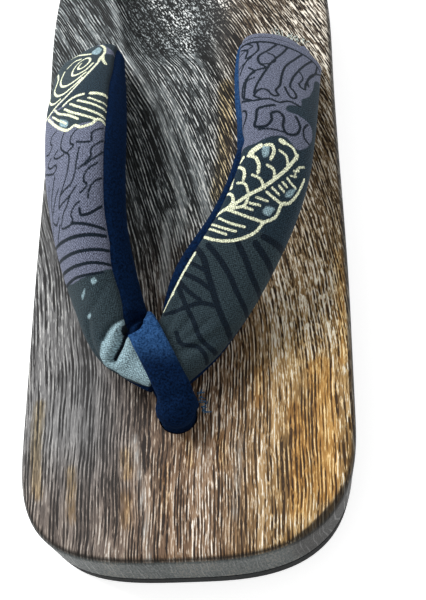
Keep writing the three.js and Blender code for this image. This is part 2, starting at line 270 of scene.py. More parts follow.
def distance(places, strokes):
    """Distance in mm from places on the cloth to strokes, less half the width of each stroke."""
    shape = places.shape[:-1]
    flat = places.reshape(-1, 2)
    nearest = np.full(len(flat), FAR)
    for width, *stroke in strokes:
        line = drawn(stroke)
        reach = np.abs(flat - line.mean(0)).max(1) < np.ptp(line, axis=0).max() + STROKE_REACH
        close = flat[reach]
        best = np.full(len(close), FAR)
        for start, end in zip(line[:-1], line[1:]):
            way = end - start
            share = np.clip((close - start) @ way / max(way @ way, 1e-9), 0, 1)
            best = np.minimum(best, np.linalg.norm(close - start - share[:, None] * way, axis=1))
        nearest[reach] = np.minimum(nearest[reach], best - width / 2)
    return nearest.reshape(shape)


def inside(places, patches):
    """Distance to the rim of a set of patches, negative inside them."""
    flat = places.reshape(-1, 2)
    result = np.full(len(flat), FAR)
    for corners in patches:
        rim = drawn([*corners, corners[0]])
        within = np.zeros(len(flat), dtype=bool)
        for (x0, y0), (x1, y1) in zip(rim[:-1], rim[1:]):
            if y0 != y1:
                crossing = x0 + (flat[:, 1] - y0) * (x1 - x0) / (y1 - y0)
                within ^= ((flat[:, 1] < y0) != (flat[:, 1] < y1)) & (flat[:, 0] < crossing)
        gap = distance(flat, [(0, *corners, corners[0])])
        result = np.minimum(result, np.where(within, -gap, gap))
    return result.reshape(places.shape[:-1])

# %% [markdown]
# ## The sole in plan
#
# The block is a rounded tongue: a broad toe that is squarer on the inner side, straight sides
# that draw in a little, and a round heel. Superellipses describe the ends, since a plain arc
# would make the toe too round. The points are spread evenly along the outline so that the mesh
# has faces of one size all the way round.

# %% Outline of the sole
LENGTH = 255
HALF_WIDTH = 51.1
HEEL_HALF_WIDTH = 49.2
TOE_DEPTH = 45
TOE_POWERS = (3.5, 2.8)  # inner and outer half of the toe
TAPER_FROM = 80
HEEL_DEPTH = 80
HEEL_POWER = 2.7
OUTLINE_POINTS = 264
ARC_STEPS = 400
SIDE_STEPS = 200


def smooth(t):
    """Soft step from 0 to 1."""
    t = np.clip(t, 0, 1)
    return t * t * (3 - 2 * t)


def arc(power, turn):
    """Across and ahead of a superellipse for an angle in radians."""
    across = np.sign(np.cos(turn)) * np.abs(np.cos(turn)) ** (2 / power)
    return across, np.abs(np.sin(turn)) ** (2 / power)


def spread_evenly(points, count):
    """Resamples a closed outline so that its points lie at equal distances."""
    closed = np.vstack([points, points[:1]])
    run = np.concatenate([[0], np.cumsum(np.linalg.norm(np.diff(closed, axis=0), axis=1))])
    places = np.linspace(0, run[-1], count, endpoint=False)
    return np.column_stack([np.interp(places, run, column) for column in closed.T])


def sole_outline(count):
    """Outline in plan and the direction inwards at each of its points."""
    turn = np.linspace(0, math.pi, ARC_STEPS, endpoint=False)
    across, ahead = arc(np.where(turn < math.pi / 2, *TOE_POWERS), turn)
    toe = np.column_stack([-HALF_WIDTH * across, TOE_DEPTH * (1 - ahead)])
    start = LENGTH - HEEL_DEPTH
    along = np.linspace(TOE_DEPTH, start, SIDE_STEPS)
    narrowing = smooth((along - TAPER_FROM) / (start - TAPER_FROM))
    half = HALF_WIDTH - (HALF_WIDTH - HEEL_HALF_WIDTH) * narrowing
    across, behind = arc(HEEL_POWER, turn)
    heel = np.column_stack([HEEL_HALF_WIDTH * across, start + HEEL_DEPTH * behind])
    outer = np.column_stack([half, along])[:-1]
    inner = np.column_stack([-half, along])[:0:-1]
    outline = spread_evenly(np.vstack([toe, outer, heel, inner]), count)
    outline[:, 1] -= HEEL_END
    run = np.roll(outline, -1, axis=0) - np.roll(outline, 1, axis=0)
    run /= np.linalg.norm(run, axis=1)[:, None]
    return outline, np.column_stack([-run[:, 1], run[:, 0]])


OUTLINE, INWARDS = sole_outline(OUTLINE_POINTS)
print("sole outline in mm:", np.ptp(OUTLINE, axis=0).round(1))

# %% [markdown]
# ## The carved block
#
# The footbed rises from the ball of the foot to the heel. It has a cup for the heel with a crisp
# inner rim, a low crest before the cup, and a bank under the arch of the foot. These heights are
# the same as in the CAD model; only the rings are closer together, so the carving looks soft.

# %% Heights of the footbed
TOE_HEIGHT = 28
HEEL_CLIMB = 11.2
CLIMB = (70, 190)  # where it starts and how long it is
CUP = {"x": -4, "from_toe": 218, "half_width": 23, "half_length": 44, "depth": 5, "power": 2.6}
CUP_WALLS = (6, 1.6)  # inner and outer
MOUNDS = (
    {"x": -2, "from_toe": 166, "half_width": 34, "half_length": 26, "height": 1.8},
    {"x": -40, "from_toe": 150, "half_width": 20, "half_length": 34, "height": 1.5},
)


def rim_height(y):
    """Height of the rim of the footbed."""
    return TOE_HEIGHT + HEEL_CLIMB * smooth((y + HEEL_END - CLIMB[0]) / CLIMB[1])


def cup_reach(x, y):
    """0 in the middle of the heel cup, 1 on its rim."""
    across = np.abs((x - CUP["x"]) / CUP["half_width"])
    along = np.abs((y + HEEL_END - CUP["from_toe"]) / CUP["half_length"])
    return (across ** CUP["power"] + along ** CUP["power"]) ** (1 / CUP["power"])


def bed_height(x, y):
    """Height of the walking surface."""
    side = smooth(((x - CUP["x"]) / CUP["half_width"] + 1) / 2)
    wall = CUP_WALLS[0] + (CUP_WALLS[1] - CUP_WALLS[0]) * side
    height = rim_height(y) - CUP["depth"] * (1 - np.clip(cup_reach(x, y), 0, 1) ** wall)
    for mound in MOUNDS:
        across = (x - mound["x"]) / mound["half_width"]
        along = (y + HEEL_END - mound["from_toe"]) / mound["half_length"]
        height = height + mound["height"] * smooth(1 - np.hypot(across, along))
    return height

# %% Rings of the block
PAD_THICKNESS = 7.5
INSET_AT_PAD = 1.7
INSET_AT_FLOOR = 2.5
EDGE_RADIUS = 2.5
EDGE_STEPS = 8
WALL_STEPS = 8
BED_RINGS = 64


def sole_ring(inset, height, scale=1):
    """Ring at an inset from the outline. The height is a number or a rule of x, y and edge y."""
    plan = (OUTLINE + INWARDS * inset) * scale
    if callable(height):
        height = height(plan[:, 0], plan[:, 1], OUTLINE[:, 1])
    return np.column_stack([plan, np.broadcast_to(height, len(plan))])


def block_rings():
    """Rings from the underside up the wall, over the rounded edge and in over the footbed."""
    for step in np.linspace(0, 1, WALL_STEPS, endpoint=False):
        yield sole_ring(
            INSET_AT_PAD * (1 - step),
            lambda x, y, edge: PAD_THICKNESS
            + (rim_height(edge) - EDGE_RADIUS - PAD_THICKNESS) * step,
        )
    for turn in np.linspace(0, math.pi / 2, EDGE_STEPS + 1):
        yield sole_ring(
            EDGE_RADIUS * (1 - math.cos(turn)),
            lambda x, y, edge: rim_height(edge) - EDGE_RADIUS * (1 - math.sin(turn)),
        )
    for step in range(1, BED_RINGS):
        yield sole_ring(EDGE_RADIUS, lambda x, y, edge: bed_height(x, y), 1 - step / BED_RINGS)

# %% Cutters for the arch hollow and the holes
HOLLOW = {"from_toe": 157, "half_chord": 41, "rise": 15}
TOE_HOLE = {"x": -2.6, "from_toe": 46, "radius": 6, "recess": 11, "recess_top": 12.5}
REAR_HOLE = {"x": 34, "from_toe": 175.6, "half_width": 7.6, "half_depth": 5.2}


def rod(middle, radii, depth, turn=Matrix.Identity(4), segments=96):
    """Rod along Z, or turned, with an elliptical section. Everything in millimetres."""
    bm = bmesh.new()
    size = Matrix.Diagonal((radii[0] * MM, radii[1] * MM, depth * MM, 1))
    place = Matrix.Translation(Vector(middle) * MM) @ turn @ size
    bmesh.ops.create_cone(
        bm, cap_ends=True, segments=segments, radius1=1, radius2=1, depth=1, matrix=place
    )
    return finished(bm, "cutter")


def arch_cutter():
    """The arch hollow is a slice of one wide cylinder that lies across the foot."""
    rise = HOLLOW["rise"]
    radius = (HOLLOW["half_chord"] ** 2 + rise**2) / (2 * rise)
    middle = (0, HOLLOW["from_toe"] - HEEL_END, rise - radius)
    across = Matrix.Rotation(math.pi / 2, 4, "Y")
    return rod(middle, (radius, radius), 4 * HALF_WIDTH, across, segments=288)


def toe_cutter(radius, bottom, top):
    middle = (TOE_HOLE["x"], TOE_HOLE["from_toe"] - HEEL_END, (bottom + top) / 2)
    return rod(middle, (radius, radius), top - bottom)


block = skin("carved_block", list(block_rings()))
carve(
    block,
    arch_cutter(),
    toe_cutter(TOE_HOLE["radius"], 0, 60),
    toe_cutter(TOE_HOLE["recess"], -1, TOE_HOLE["recess_top"]),
    *(
        rod(
            (side * REAR_HOLE["x"], REAR_HOLE["from_toe"] - HEEL_END, 30),
            (REAR_HOLE["half_width"], REAR_HOLE["half_depth"]),
            80,
        )
        for side in (-1, 1)
    ),
)
block.data.set_sharp_from_angle(angle=SHARP_ANGLE)
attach(block, "root")
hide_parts("wood_base")
print("carved block:", len(block.data.polygons), "faces")

# %% [markdown]
# ## Charred and brushed paulownia
#
# The block is scorched, then scrubbed with a wire brush along the grain. The soft wood between
# the fibres goes, and what stays is a brown ground with fine cream ridges, which the brush has
# polished, and dark furrows between them. Wax makes it satin. The upper edge keeps a thin line of
# char, and the walls stay matt grey-black. The grain runs straight at the toe and leans inwards
# towards the heel, and in the heel cup it is cut across, so the ridges there are mere grit.
#
# Stretched noise alone makes soft blots. Here the grain is laid out in lanes, as it grows: each
# lane has one ridge and one furrow, and noise along the lane cuts them into pieces. The scale
# comes from the real one: lanes 1 mm apart, ridges up to 0.5 mm wide and about 2 to 6 mm long,
# with short dashes between them on the outer side. Six palettes share the pattern, soft masks
# by place choose between them, and a few broad streaks are listed.

# %% Marks on the block for the finish
STREAKS = {  # width, then points across and from the toe, in mm
    # The grey streaks are painted sheen: pale cool light along the rim of the heel cup, down the
    # rise before it, and in a few thin lines at the toe.
    "smooth_grey": """
    1.5 -28.8,214 -27.9,205 -25.6,193.5 -24.2,184.5 -20.6,177.5 -16,169 / 2.6 -15.6,167 -10.6,158
    -6.4,146 -4,133 -2.6,122 -3,108 / 1.2 -9.6,166 -4.8,157 -0.8,146 1.6,134 / 3 2,136 4.6,124
    6,113 / 2 -6.6,118 -7.6,104 -8,90 / 0.7 -16,40 -14.2,30 -12.4,16 -10.6,1 / 0.5 16.6,38 15.6,26
    14.4,12
    """,
    "amber": """
    5 33.6,46 34.6,36 34,26 33.6,14 / 2.2 -18.6,35 -17.6,27 / 2.4 -18,21 -17.4,12 / 2 10.4,39 11,29
    / 1.6 0.2,38 1.4,30 / 7 41,60 42,40 41,20 / 2 48,100 48.4,80 48,62 / 2.4 -46,52 -46.4,36 -45,22
    / 1.8 -35,30 -34,14 / 1.4 -6.4,30 -5.6,14 / 1.6 22.4,60 22,48 / 4 12.8,165 12.4,150 11.6,136
    9.6,124
    """,
    # Of the dark strokes, those left of the toe loop, beside the inner arm and at the mouth of the
    # outer hole are painted shade and shadow; the rest are spots of soot.
    "soot": """
    3 -22.4,26 -21.8,10 / 1.8 -12.6,38 -11.8,29 / 3 2.4,193 6.4,178 8.8,168 / 4 -12,158 -12.6,146
    -11,130 / 4 -12.6,62 -14.6,50 -16.4,41 / 1.4 31.2,183.6 34.6,183.4 37.8,180.2 40,177
    """,
}
BURNT_CORNER = 1.3  # how far the char comes in over the outer corner of the toe
places = points_of(block)
x, y, z = places.T
from_toe = y + HEEL_END
close_outline = sole_outline(6 * OUTLINE_POINTS)[0]
to_outline = np.concatenate([
    np.min(np.linalg.norm(part[:, None, :2] - close_outline[None], axis=2), axis=1)
    for part in np.array_split(places, 20)
])
# The line of char runs along the upper edge, fades on the inner side, and widens at the corner.
drop = np.minimum(bed_height(x, y), rim_height(y)) - z
corner = smooth((x - 26) / 18) * (0.2 + 0.8 * smooth((24 - from_toe) / 14))
edge_line = smooth((drop - 0.25) / 0.3) * (1 - smooth((drop - 0.9) / 0.5))
edge_line *= 1 - 0.8 * smooth((-x - 30) / 14) * smooth((from_toe - 12) / 16)
burnt = 1 - smooth((to_outline - 0.9 - BURNT_CORNER * corner) / (0.3 + 0.6 * corner))
mark(block, "wall", smooth((drop - 0.8) / 0.7))
mark(block, "char", np.maximum(edge_line, burnt * smooth(corner * 3)))
mark(block, "cup", 1 - smooth((cup_reach(x, y) - 0.74) / 0.22))
for kind, text in STREAKS.items():
    mark(block, kind, distance(np.column_stack([x, from_toe]), read_strokes(text)))

# %% Grain
BEND_FROM = 55  # from the toe, where the grain starts to lean
BEND = 0.0021
WANDER = 1.8  # how far the grain strays to each side
LANE = 1.05  # from ridge to ridge
LANE_STEP = 7.37  # how far apart the noise of two lanes is read
LANE_EDGE = 0.34  # softness of the rim of a piece, as a share of half a lane

wood, shader, node = new_finish("charred_brushed_paulownia", Specular_IOR_Level=0.22)
in_mm = node("VectorMath MULTIPLY", node("TexCoord").outputs["Object"], (1 / MM,) * 3)
X, Y, Z = node("SeparateXYZ", in_mm).outputs[:3]
past = node("Math MAXIMUM", node("Math ADD", Y, HEEL_END - BEND_FROM), 0)
lean = node("Math MULTIPLY", node("Math POWER", past, 2), BEND)
wander = node("TexNoise", Vector=in_mm, Scale=0.03, Detail=2)
wander = node("MapRange", wander, 0, 1, -WANDER, WANDER)
grain_x = node("Math ADD", node("Math ADD", X, lean), wander)
grain = node("CombineXYZ", grain_x, Y, Z)


def strokes(width, length, detail, low, high, source=grain, depth=4):
    """Mask of strokes along the grain: noise stretched to a width and length in mm."""
    stretched = node("VectorMath MULTIPLY", source, (1 / width, 1 / length, 1 / (depth * width)))
    pattern = node("TexNoise", Vector=stretched, Scale=1, Detail=detail, Roughness=0.5)
    return node("MapRange", pattern, low, high, **SOFT)


def lane_pieces(shift, length, low, high, widest):
    """Mask of the pieces of line that lie in the middle of each lane."""
    place = node("Math ADD", lane, shift)
    middle = node("Math MULTIPLY", node("Math PINGPONG", place, 0.5), 2)
    number = node("Math MULTIPLY", node("Math FLOOR", place), LANE_STEP)
    along = node("CombineXYZ", number, node("Math MULTIPLY", Y, 1 / length), shift)
    pieces = node("TexNoise", Vector=along, Scale=1, Detail=1)
    rim = node("Math SUBTRACT", 1, node("MapRange", pieces, low, high, 0, widest))
    return node("MapRange", middle, rim, node("Math ADD", rim, LANE_EDGE), **SOFT)


broad_sway = node("MapRange", strokes(9, 160, 1, 0, 1), 0, 1, -1.4, 1.4)
fine_sway = node("MapRange", strokes(1.6, 16, 1, 0, 1), 0, 1, -0.2, 0.2)
lane = node("Math MULTIPLY", grain_x, 1 / LANE)
lane = node("Math ADD", lane, node("Math ADD", broad_sway, fine_sway))
ridges = lane_pieces(0.0, 6.0, 0.42, 0.57, 0.44)
furrows = lane_pieces(0.5, 14.0, 0.36, 0.56, 0.72)
flecks = strokes(0.3, 3.4, 1, 0.56, 0.66)
fibres = strokes(0.24, 4, 2, 0.35, 0.65)
dashes = strokes(0.5, 3.2, 1, 0.53, 0.6)
sparkle = strokes(0.3, 0.8, 1, 0.3, 0.7)
streaks = strokes(2.4, 70, 3, 0.34, 0.66)
patches = strokes(10, 40, 2, 0.36, 0.64)
turned = node("VectorRotate", in_mm, Angle=math.radians(-32), rotation_type="Z_AXIS")
grit = strokes(0.46, 1.2, 1, 0.5, 0.57, source=turned)
print("grain lanes across the toe:", round(2 * HALF_WIDTH / LANE))

# %% Tone of the wood
FADES = {"smooth_grey": 1.6, "amber": 1.6, "soot": 1.8}  # mm over which a drawn streak fades
marks = {
    kind: node("Attribute", attribute_name=kind).outputs["Fac"]
    for kind in ("cup", "wall", "char", *FADES)
}
ragged = node("MapRange", fibres, 0, 1, -0.5, 0.5)
streak = {
    kind: node("MapRange", node("Math ADD", marks[kind], ragged), fade, -0.6, **SOFT)
    for kind, fade in FADES.items()
}
# Masks by place: the inner side is greyer, partly in the wood's own tone and partly as a painted
# cool reflection of the light, and the light dashes lie behind and on the outer side.
to_grey_and_reflection = node("MapRange", X, 0, -32, **SOFT)
to_grey_and_reflection = node("Math MULTIPLY", to_grey_and_reflection, node("MapRange", Y, -84, -116, 1, 0.6, **SOFT))
behind = node("MapRange", Y, -86, -40, **SOFT)
flank = node("MapRange", X, 14, 38, **SOFT)

bright = node("MapRange", patches, 0, 1, 0.42, 0.74)
for mask, least, most in ((sparkle, 0.7, 1.2), (to_grey_and_reflection, 1, 0.5), (behind, 1, 1.4)):
    bright = node("Math MULTIPLY", bright, node("MapRange", mask, 0, 1, least, most))
ground = node("MapRange", streaks, 0, 1, 0.16, 0.4)
for mask, least, most in (
    (patches, -0.05, 0.06),
    (fibres, -0.07, 0.07),
    # painted sheen lifts the ground and softens the furrows
    (streak["smooth_grey"], 0, 0.22),
    # soot and painted shade darken the ground
    (streak["soot"], 0, -0.22),
    (marks["cup"], 0, -0.22),
    (behind, 0, -0.04),
):
    ground = node("Math ADD", ground, node("MapRange", mask, 0, 1, least, most))
cut = furrows
for mask, least, most in ((streak["smooth_grey"], 0.32, 0.24), (behind, 1, 1.3)):
    cut = node("Math MULTIPLY", cut, node("MapRange", mask, 0, 1, least, most))

dashes = node("Math MULTIPLY", dashes, node("Math MULTIPLY", behind, flank))
raised = node("Math MAXIMUM", ridges, node("Math MULTIPLY", flecks, 0.7))
raised = node("Mix", marks["cup"], node("Math MAXIMUM", raised, dashes), grit)
light = node("Math MULTIPLY", raised, bright)
tone = node("Math ADD", node("Math SUBTRACT", ground, cut), light, use_clamp=True)

# %% Palettes of the block
STOPS = (0.0, 0.3, 0.56, 1.0)
PALETTES = {  # colours of furrow, ground, lit ground and ridge
    "toe": ("24180f", "7a5e46", "b99e82", "fdf4e6"),
    "grey": ("1b1a1a", "727171", "9a9998", "d3d1cd"),
    # palette of the painted sheen
    "sheen_grey": ("1c1f20", "6f7576", "a3a9aa", "dfe1de"),
    "gold": ("38250f", "a37f4c", "d9bb86", "fff8e4"),
    "heel": ("06090a", "3b4041", "929a9c", "f0f3f0"),
    "bark": ("0e0906", "3c2e23", "8f806b", "f4ecdc"),
}
shades = {
    name: node("ValToRGB", tone, stops=list(zip(STOPS, map(paint, codes))))
    for name, codes in PALETTES.items()
}
to_gold = node("MapRange", X, 5, 36, **SOFT)
to_heel = node("MapRange", Y, -72, 0, **SOFT)
to_back = node("MapRange", Y, 0, 56, **SOFT)
to_bark = node("MapRange", X, 2, 22, **SOFT)
rear = node("Mix", to_bark, shades["heel"], shades["bark"], data_type="RGBA")
rear_left = node("MapRange", X, -44, -22, 0.35, 1, **SOFT)
rear_right = node("MapRange", X, 46, 22, 0.6, 1, **SOFT)
rear_share = node("Math MAXIMUM", node("Math MULTIPLY", rear_left, rear_right), to_back)
wall_patches = node("MapRange", patches, 0, 1, -0.2, 0.2)
wall_tone = node("Math ADD", strokes(0.6, 18, 3, 0.3, 0.7), wall_patches)
WALL_STOPS = ((0, paint("232827")), (0.6, paint("424948")), (1, paint("5e5c55")))

colour = shades["toe"]
for share, over, blend in (
    (to_grey_and_reflection, shades["grey"], "MIX"),
    (to_gold, shades["gold"], "MIX"),
    (node("Math MULTIPLY", to_heel, rear_share), rear, "MIX"),
    # painted sheen: the grey streaks take the pale grey palette
    (node("Math MULTIPLY", streak["smooth_grey"], 0.6), shades["sheen_grey"], "MIX"),
    (node("Math MULTIPLY", streak["amber"], 0.8), paint("ffe6b0"), "MULTIPLY"),
    (marks["wall"], node("ValToRGB", wall_tone, stops=WALL_STOPS), "MIX"),
    (node("Math MULTIPLY", marks["char"], 0.9), paint("14110c"), "MIX"),
):
    colour = node("Mix", share, colour, over, data_type="RGBA", blend_type=blend)

relief = node("Bump", Height=tone, Strength=1.0, Distance=0.00022)
polish = node("MapRange", raised, 0, 1, 0.58, 0.38)
finish(shader, Base_Color=colour, Normal=relief, Roughness=polish)
dress(wood, block)
print("nodes in the wood:", len(wood.node_tree.nodes))

# %% [markdown]
# ## Rubber pads
#
# Two pads of black sponge rubber are glued under the block and sanded flush with its wall. Each
# is cut from one slab in the plan of the sole, then parted by the arch hollow.

# %% Pads
PAD_TOP = 7.2
PAD_STEPS = 5


def pad(name, keep_side):
    """One pad of the slab: side -1 keeps the forefoot and 1 the heel."""
    slab = skin(
        name,
        [
            sole_ring(INSET_AT_FLOOR + 0.5, 0),
            *(
                sole_ring(
                    INSET_AT_FLOOR + (INSET_AT_PAD - INSET_AT_FLOOR) * share,
                    0.5 + (PAD_TOP - 0.9) * share,
                )
                for share in np.linspace(0, 1, PAD_STEPS)
            ),
            sole_ring(INSET_AT_PAD + 0.4, PAD_TOP),
        ],
    )
    bm = bmesh.new()
    middle = HOLLOW["from_toe"] - HEEL_END - keep_side * LENGTH / 2
    size = Matrix.Diagonal((4 * HALF_WIDTH * MM, LENGTH * MM, 0.06, 1))
    bmesh.ops.create_cube(bm, size=1, matrix=Matrix.Translation((0, middle * MM, 0)) @ size)
    cutters = [finished(bm, "cutter"), arch_cutter()]
    if keep_side < 0:
        cutters.append(toe_cutter(TOE_HOLE["recess"], -1, PAD_THICKNESS + 1))
    carve(slab, *cutters)
    slab.data.set_sharp_from_angle(angle=SHARP_ANGLE)
    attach(slab, "root")
    return slab


forefoot_pad = pad("forefoot_pad", -1)
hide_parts("outsole_forefoot")
heel_pad = pad("heel_pad", 1)
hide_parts("outsole_heel")
rubber, shader, node = new_finish("black_sponge_rubber", Roughness=0.8, Specular_IOR_Level=0.15)
object_place = node("TexCoord").outputs["Object"]
# Scales count per metre here, so these pores are about 0.6 mm apart.
pores = node("TexVoronoi", Vector=object_place, Scale=1600)
cloud = node("TexNoise", Vector=object_place, Scale=90, Detail=3)
dust = node("ValToRGB", cloud, stops=((0.35, paint("060809")), (0.75, paint("14181a"))))
finish(shader, Base_Color=dust, Normal=node("Bump", Height=pores, Strength=0.6, Distance=0.0002))
dress(rubber, forefoot_pad, heel_pad)
print("pads:", len(forefoot_pad.data.polygons), len(heel_pad.data.polygons), "faces")

# %% [markdown]
# ## The padded strap
#
# The strap of a geta is a stuffed tube of two cloths: a printed cotton face above and velveteen
# below, sewn together along both sides. Each arm rises out of its hole beside the heel, arches
# over the foot, and meets the other one under the toe loop. The table gives the middle line of
# each arm with its width, thickness, heading and lean, as in the CAD model.

# %% Middle lines of the two arms
# Columns: x, from the toe, z, width, thickness, heading and lean in degrees.
OUTER_ARM = (
    (34.0, 175.6, 10.6, 13.2, 8.6, 0, 0),
    (34.0, 175.6, 34.6, 13.2, 8.6, 0, 0),
    (33.4, 173.8, 40.2, 21, 9.5, -1, 16),
    (32.2, 167.4, 44.4, 28, 12.5, -2, 22),
    (31.4, 158.0, 47.4, 28.5, 15, -1, 23),
    (31.2, 143.0, 52.0, 27, 16, -1, 23),
    (31.1, 127.0, 56.0, 24.5, 16, -6, 24),
    (28.6, 110.5, 56.6, 24, 16, -20, 24),
    (21.6, 95.4, 52.2, 25, 16, -30, 22),
    (10.6, 80.6, 44.6, 27, 15, -34, 14),
    (2.8, 68.0, 38.8, 22, 14, -35, 6),
    (-5.6, 56.6, 37.2, 16, 13, -35, 0),
)
INNER_ARM = (
    (-34.0, 175.6, 10.6, 13.2, 8.6, 0, 0),
    (-34.0, 175.6, 34.6, 13.2, 8.6, 0, 0),
    (-33.6, 173.8, 39.4, 21, 10, 0, 20),
    (-32.8, 168.0, 43.8, 26, 14, 1, 30),
    (-32.0, 159.0, 47.6, 27.5, 17, 2, 35),
    (-31.0, 145.5, 52.4, 28.5, 20, 3, 38),
    (-29.8, 130.0, 55.8, 29, 20.5, 5, 41),
    (-28.8, 114.0, 56.2, 28, 20.5, 7, 47),
    (-27.4, 99.0, 52.6, 26, 20, 10, 56),
    (-24.2, 84.0, 46.4, 24, 19, 17, 60),
    (-18.2, 67.6, 39.8, 20, 15.5, 38, 38),
    (-5.6, 56.6, 37.2, 15, 13, 58, 0),
)
HOLE_MOUTH = 1  # the row at which an arm leaves its hole
SECTION_POWER = 2.6
SEAM_HEIGHT = 0.16
IN_HOLE_STEP = 3
CLOTH_STEP = 0.42  # distance between rings and between points of a ring, in mm


class Arm:
    """One arm of the strap: its middle line, its frames, and the run along it in mm."""

    def __init__(self, rows, side, step):
        fine = np.linspace(0, len(rows) - 1, 40 * len(rows))
        steps = np.diff(flow(rows, fine)[:, :3], axis=0)
        run = np.concatenate([[0], np.cumsum(np.linalg.norm(steps, axis=1))])
        mouth = np.interp(HOLE_MOUTH, fine, run)
        inside = np.arange(0, mouth, IN_HOLE_STEP)
        outside = np.linspace(mouth, run[-1], int((run[-1] - mouth) / step))
        stops = np.concatenate([inside, outside])
        at = flow(rows, np.interp(stops, run, fine))
        self.run = stops - mouth
        self.length = self.run[-1]
        self.middle = at[:, :3] - (0, HEEL_END, 0)
        self.half_width, self.half_thickness = at[:, 3] / 2, at[:, 4] / 2
        ahead = unit(np.gradient(self.middle, axis=0))
        heading, lean = np.radians(at[:, 5]), np.radians(at[:, 6]) * side
        across = np.column_stack([
            np.cos(heading) * np.cos(lean), np.sin(heading) * np.cos(lean), -np.sin(lean)
        ])
        self.across = unit(across - (across * ahead).sum(1)[:, None] * ahead)
        self.up = np.cross(ahead, self.across)


outer_arm = Arm(OUTER_ARM, 1, CLOTH_STEP)
inner_arm = Arm(INNER_ARM, -1, CLOTH_STEP)
print("arms outside their holes in mm:", round(outer_arm.length, 1), round(inner_arm.length, 1))

# %% [markdown]
# ## Section and seams
#
# Each ring of the tube is a soft rectangle. Its run is measured from the top line, plus to the
# outer right and minus to the left, so a place on the cloth has two numbers in millimetres: how
# far along the arm, and how far around. The seams are told in the same way. Most of the way they
# sit at the widest part, but near the loop the face is narrower, and a strip of velveteen shows
# from above.

# %% Section of the strap
FACE_POINTS = 86
BACKING_POINTS = 64
SEAM_POINTS = 8
UNDER_REACH = 2.4  # how far the face goes on below the widest part, towards the front
# Run along each arm, and how far around its raised seam may lie at most.
OUTER_ARM_SEAM = (
    (56, FAR), (66, 12.6), (80, 12.4), (96, 11.4), (112, 10.9), (124, 11.5), (134, FAR)
)
INNER_ARM_SEAM = (
    (92, 18), (103, 15.4), (107, 14.4), (111, 12.6), (116, 9.1), (121, 6), (125, 4), (134, 3)
)
SEAM_BLUR = 25  # rings over which the seam of the outer arm is smoothed


def half_girth(arm):
    """For each ring, run, across and up of the half section from the top to the bottom line."""
    turn = np.linspace(math.pi / 2, -math.pi / 2, 500)
    across = arm.half_width[:, None] * np.abs(np.cos(turn)) ** (2 / SECTION_POWER)
    up = np.sign(np.sin(turn)) * np.abs(np.sin(turn)) ** (2 / SECTION_POWER)
    up = arm.half_thickness[:, None] * up
    steps = np.hypot(np.diff(across, axis=1), np.diff(up, axis=1))
    return np.hstack([np.zeros((len(up), 1)), np.cumsum(steps, axis=1)]), across, up


def seam_places(arm, girth):
    """How far around the seams lie on the plus side and on the minus side, for each ring."""
    run, _, up = girth
    level = SEAM_HEIGHT * arm.half_thickness
    plus = np.array([np.interp(-h, -u, r) for h, u, r in zip(level, up, run)])
    minus = plus.copy()
    plus = plus + UNDER_REACH * smooth((arm.run - 40) / 30)
    if arm is outer_arm:
        minus = np.minimum(minus, np.interp(arm.run, *np.transpose(OUTER_ARM_SEAM)))
        padded = np.pad(minus, SEAM_BLUR // 2, "edge")
        minus = np.convolve(padded, np.full(SEAM_BLUR, 1 / SEAM_BLUR), "valid")
    else:
        plus = np.minimum(plus, np.interp(arm.run, *np.transpose(INNER_ARM_SEAM)))
    return plus, minus


def around(arm, girth, seams, layer):
    """Places around each ring for one layer, from seam to seam, and the girth of the ring."""
    plus, minus = seams
    half = girth[0][:, -1]
    if layer == "face":
        return np.linspace(-minus, plus, FACE_POINTS, axis=1)
    places = np.linspace(plus, 2 * half - minus, BACKING_POINTS, axis=1)
    return np.where(places > half[:, None], places - 2 * half[:, None], places)


def on_section(girth, places):
    """Across, up and their outward direction at places around each ring."""
    run, across, up = girth
    rows = []
    for r, a, u, t in zip(run, across, up, places):
        side = np.where(t < 0, -1, 1)
        tangent = np.gradient(a, r), np.gradient(u, r)
        rows.append([
            side * np.interp(abs(t), r, a),
            np.interp(abs(t), r, u),
            -side * np.interp(abs(t), r, tangent[1]),
            np.interp(abs(t), r, tangent[0]),
        ])
    return np.moveaxis(np.array(rows), 1, 0)

# %% [markdown]
# ## The print
#
# The face is cut from a cotton printed with leaves between fields of winding lines, a common
# kind of ornament on such straps. Each arm shows other parts of the cloth. The leaf strokes are
# cream, the winding lines are a blue that is nearly black, and the ground changes from a greyed
# purple to slate and to a grey green. Each stroke has its width and then its points, as the run
# along the arm and the place around it. A patch has only the points of its rim.

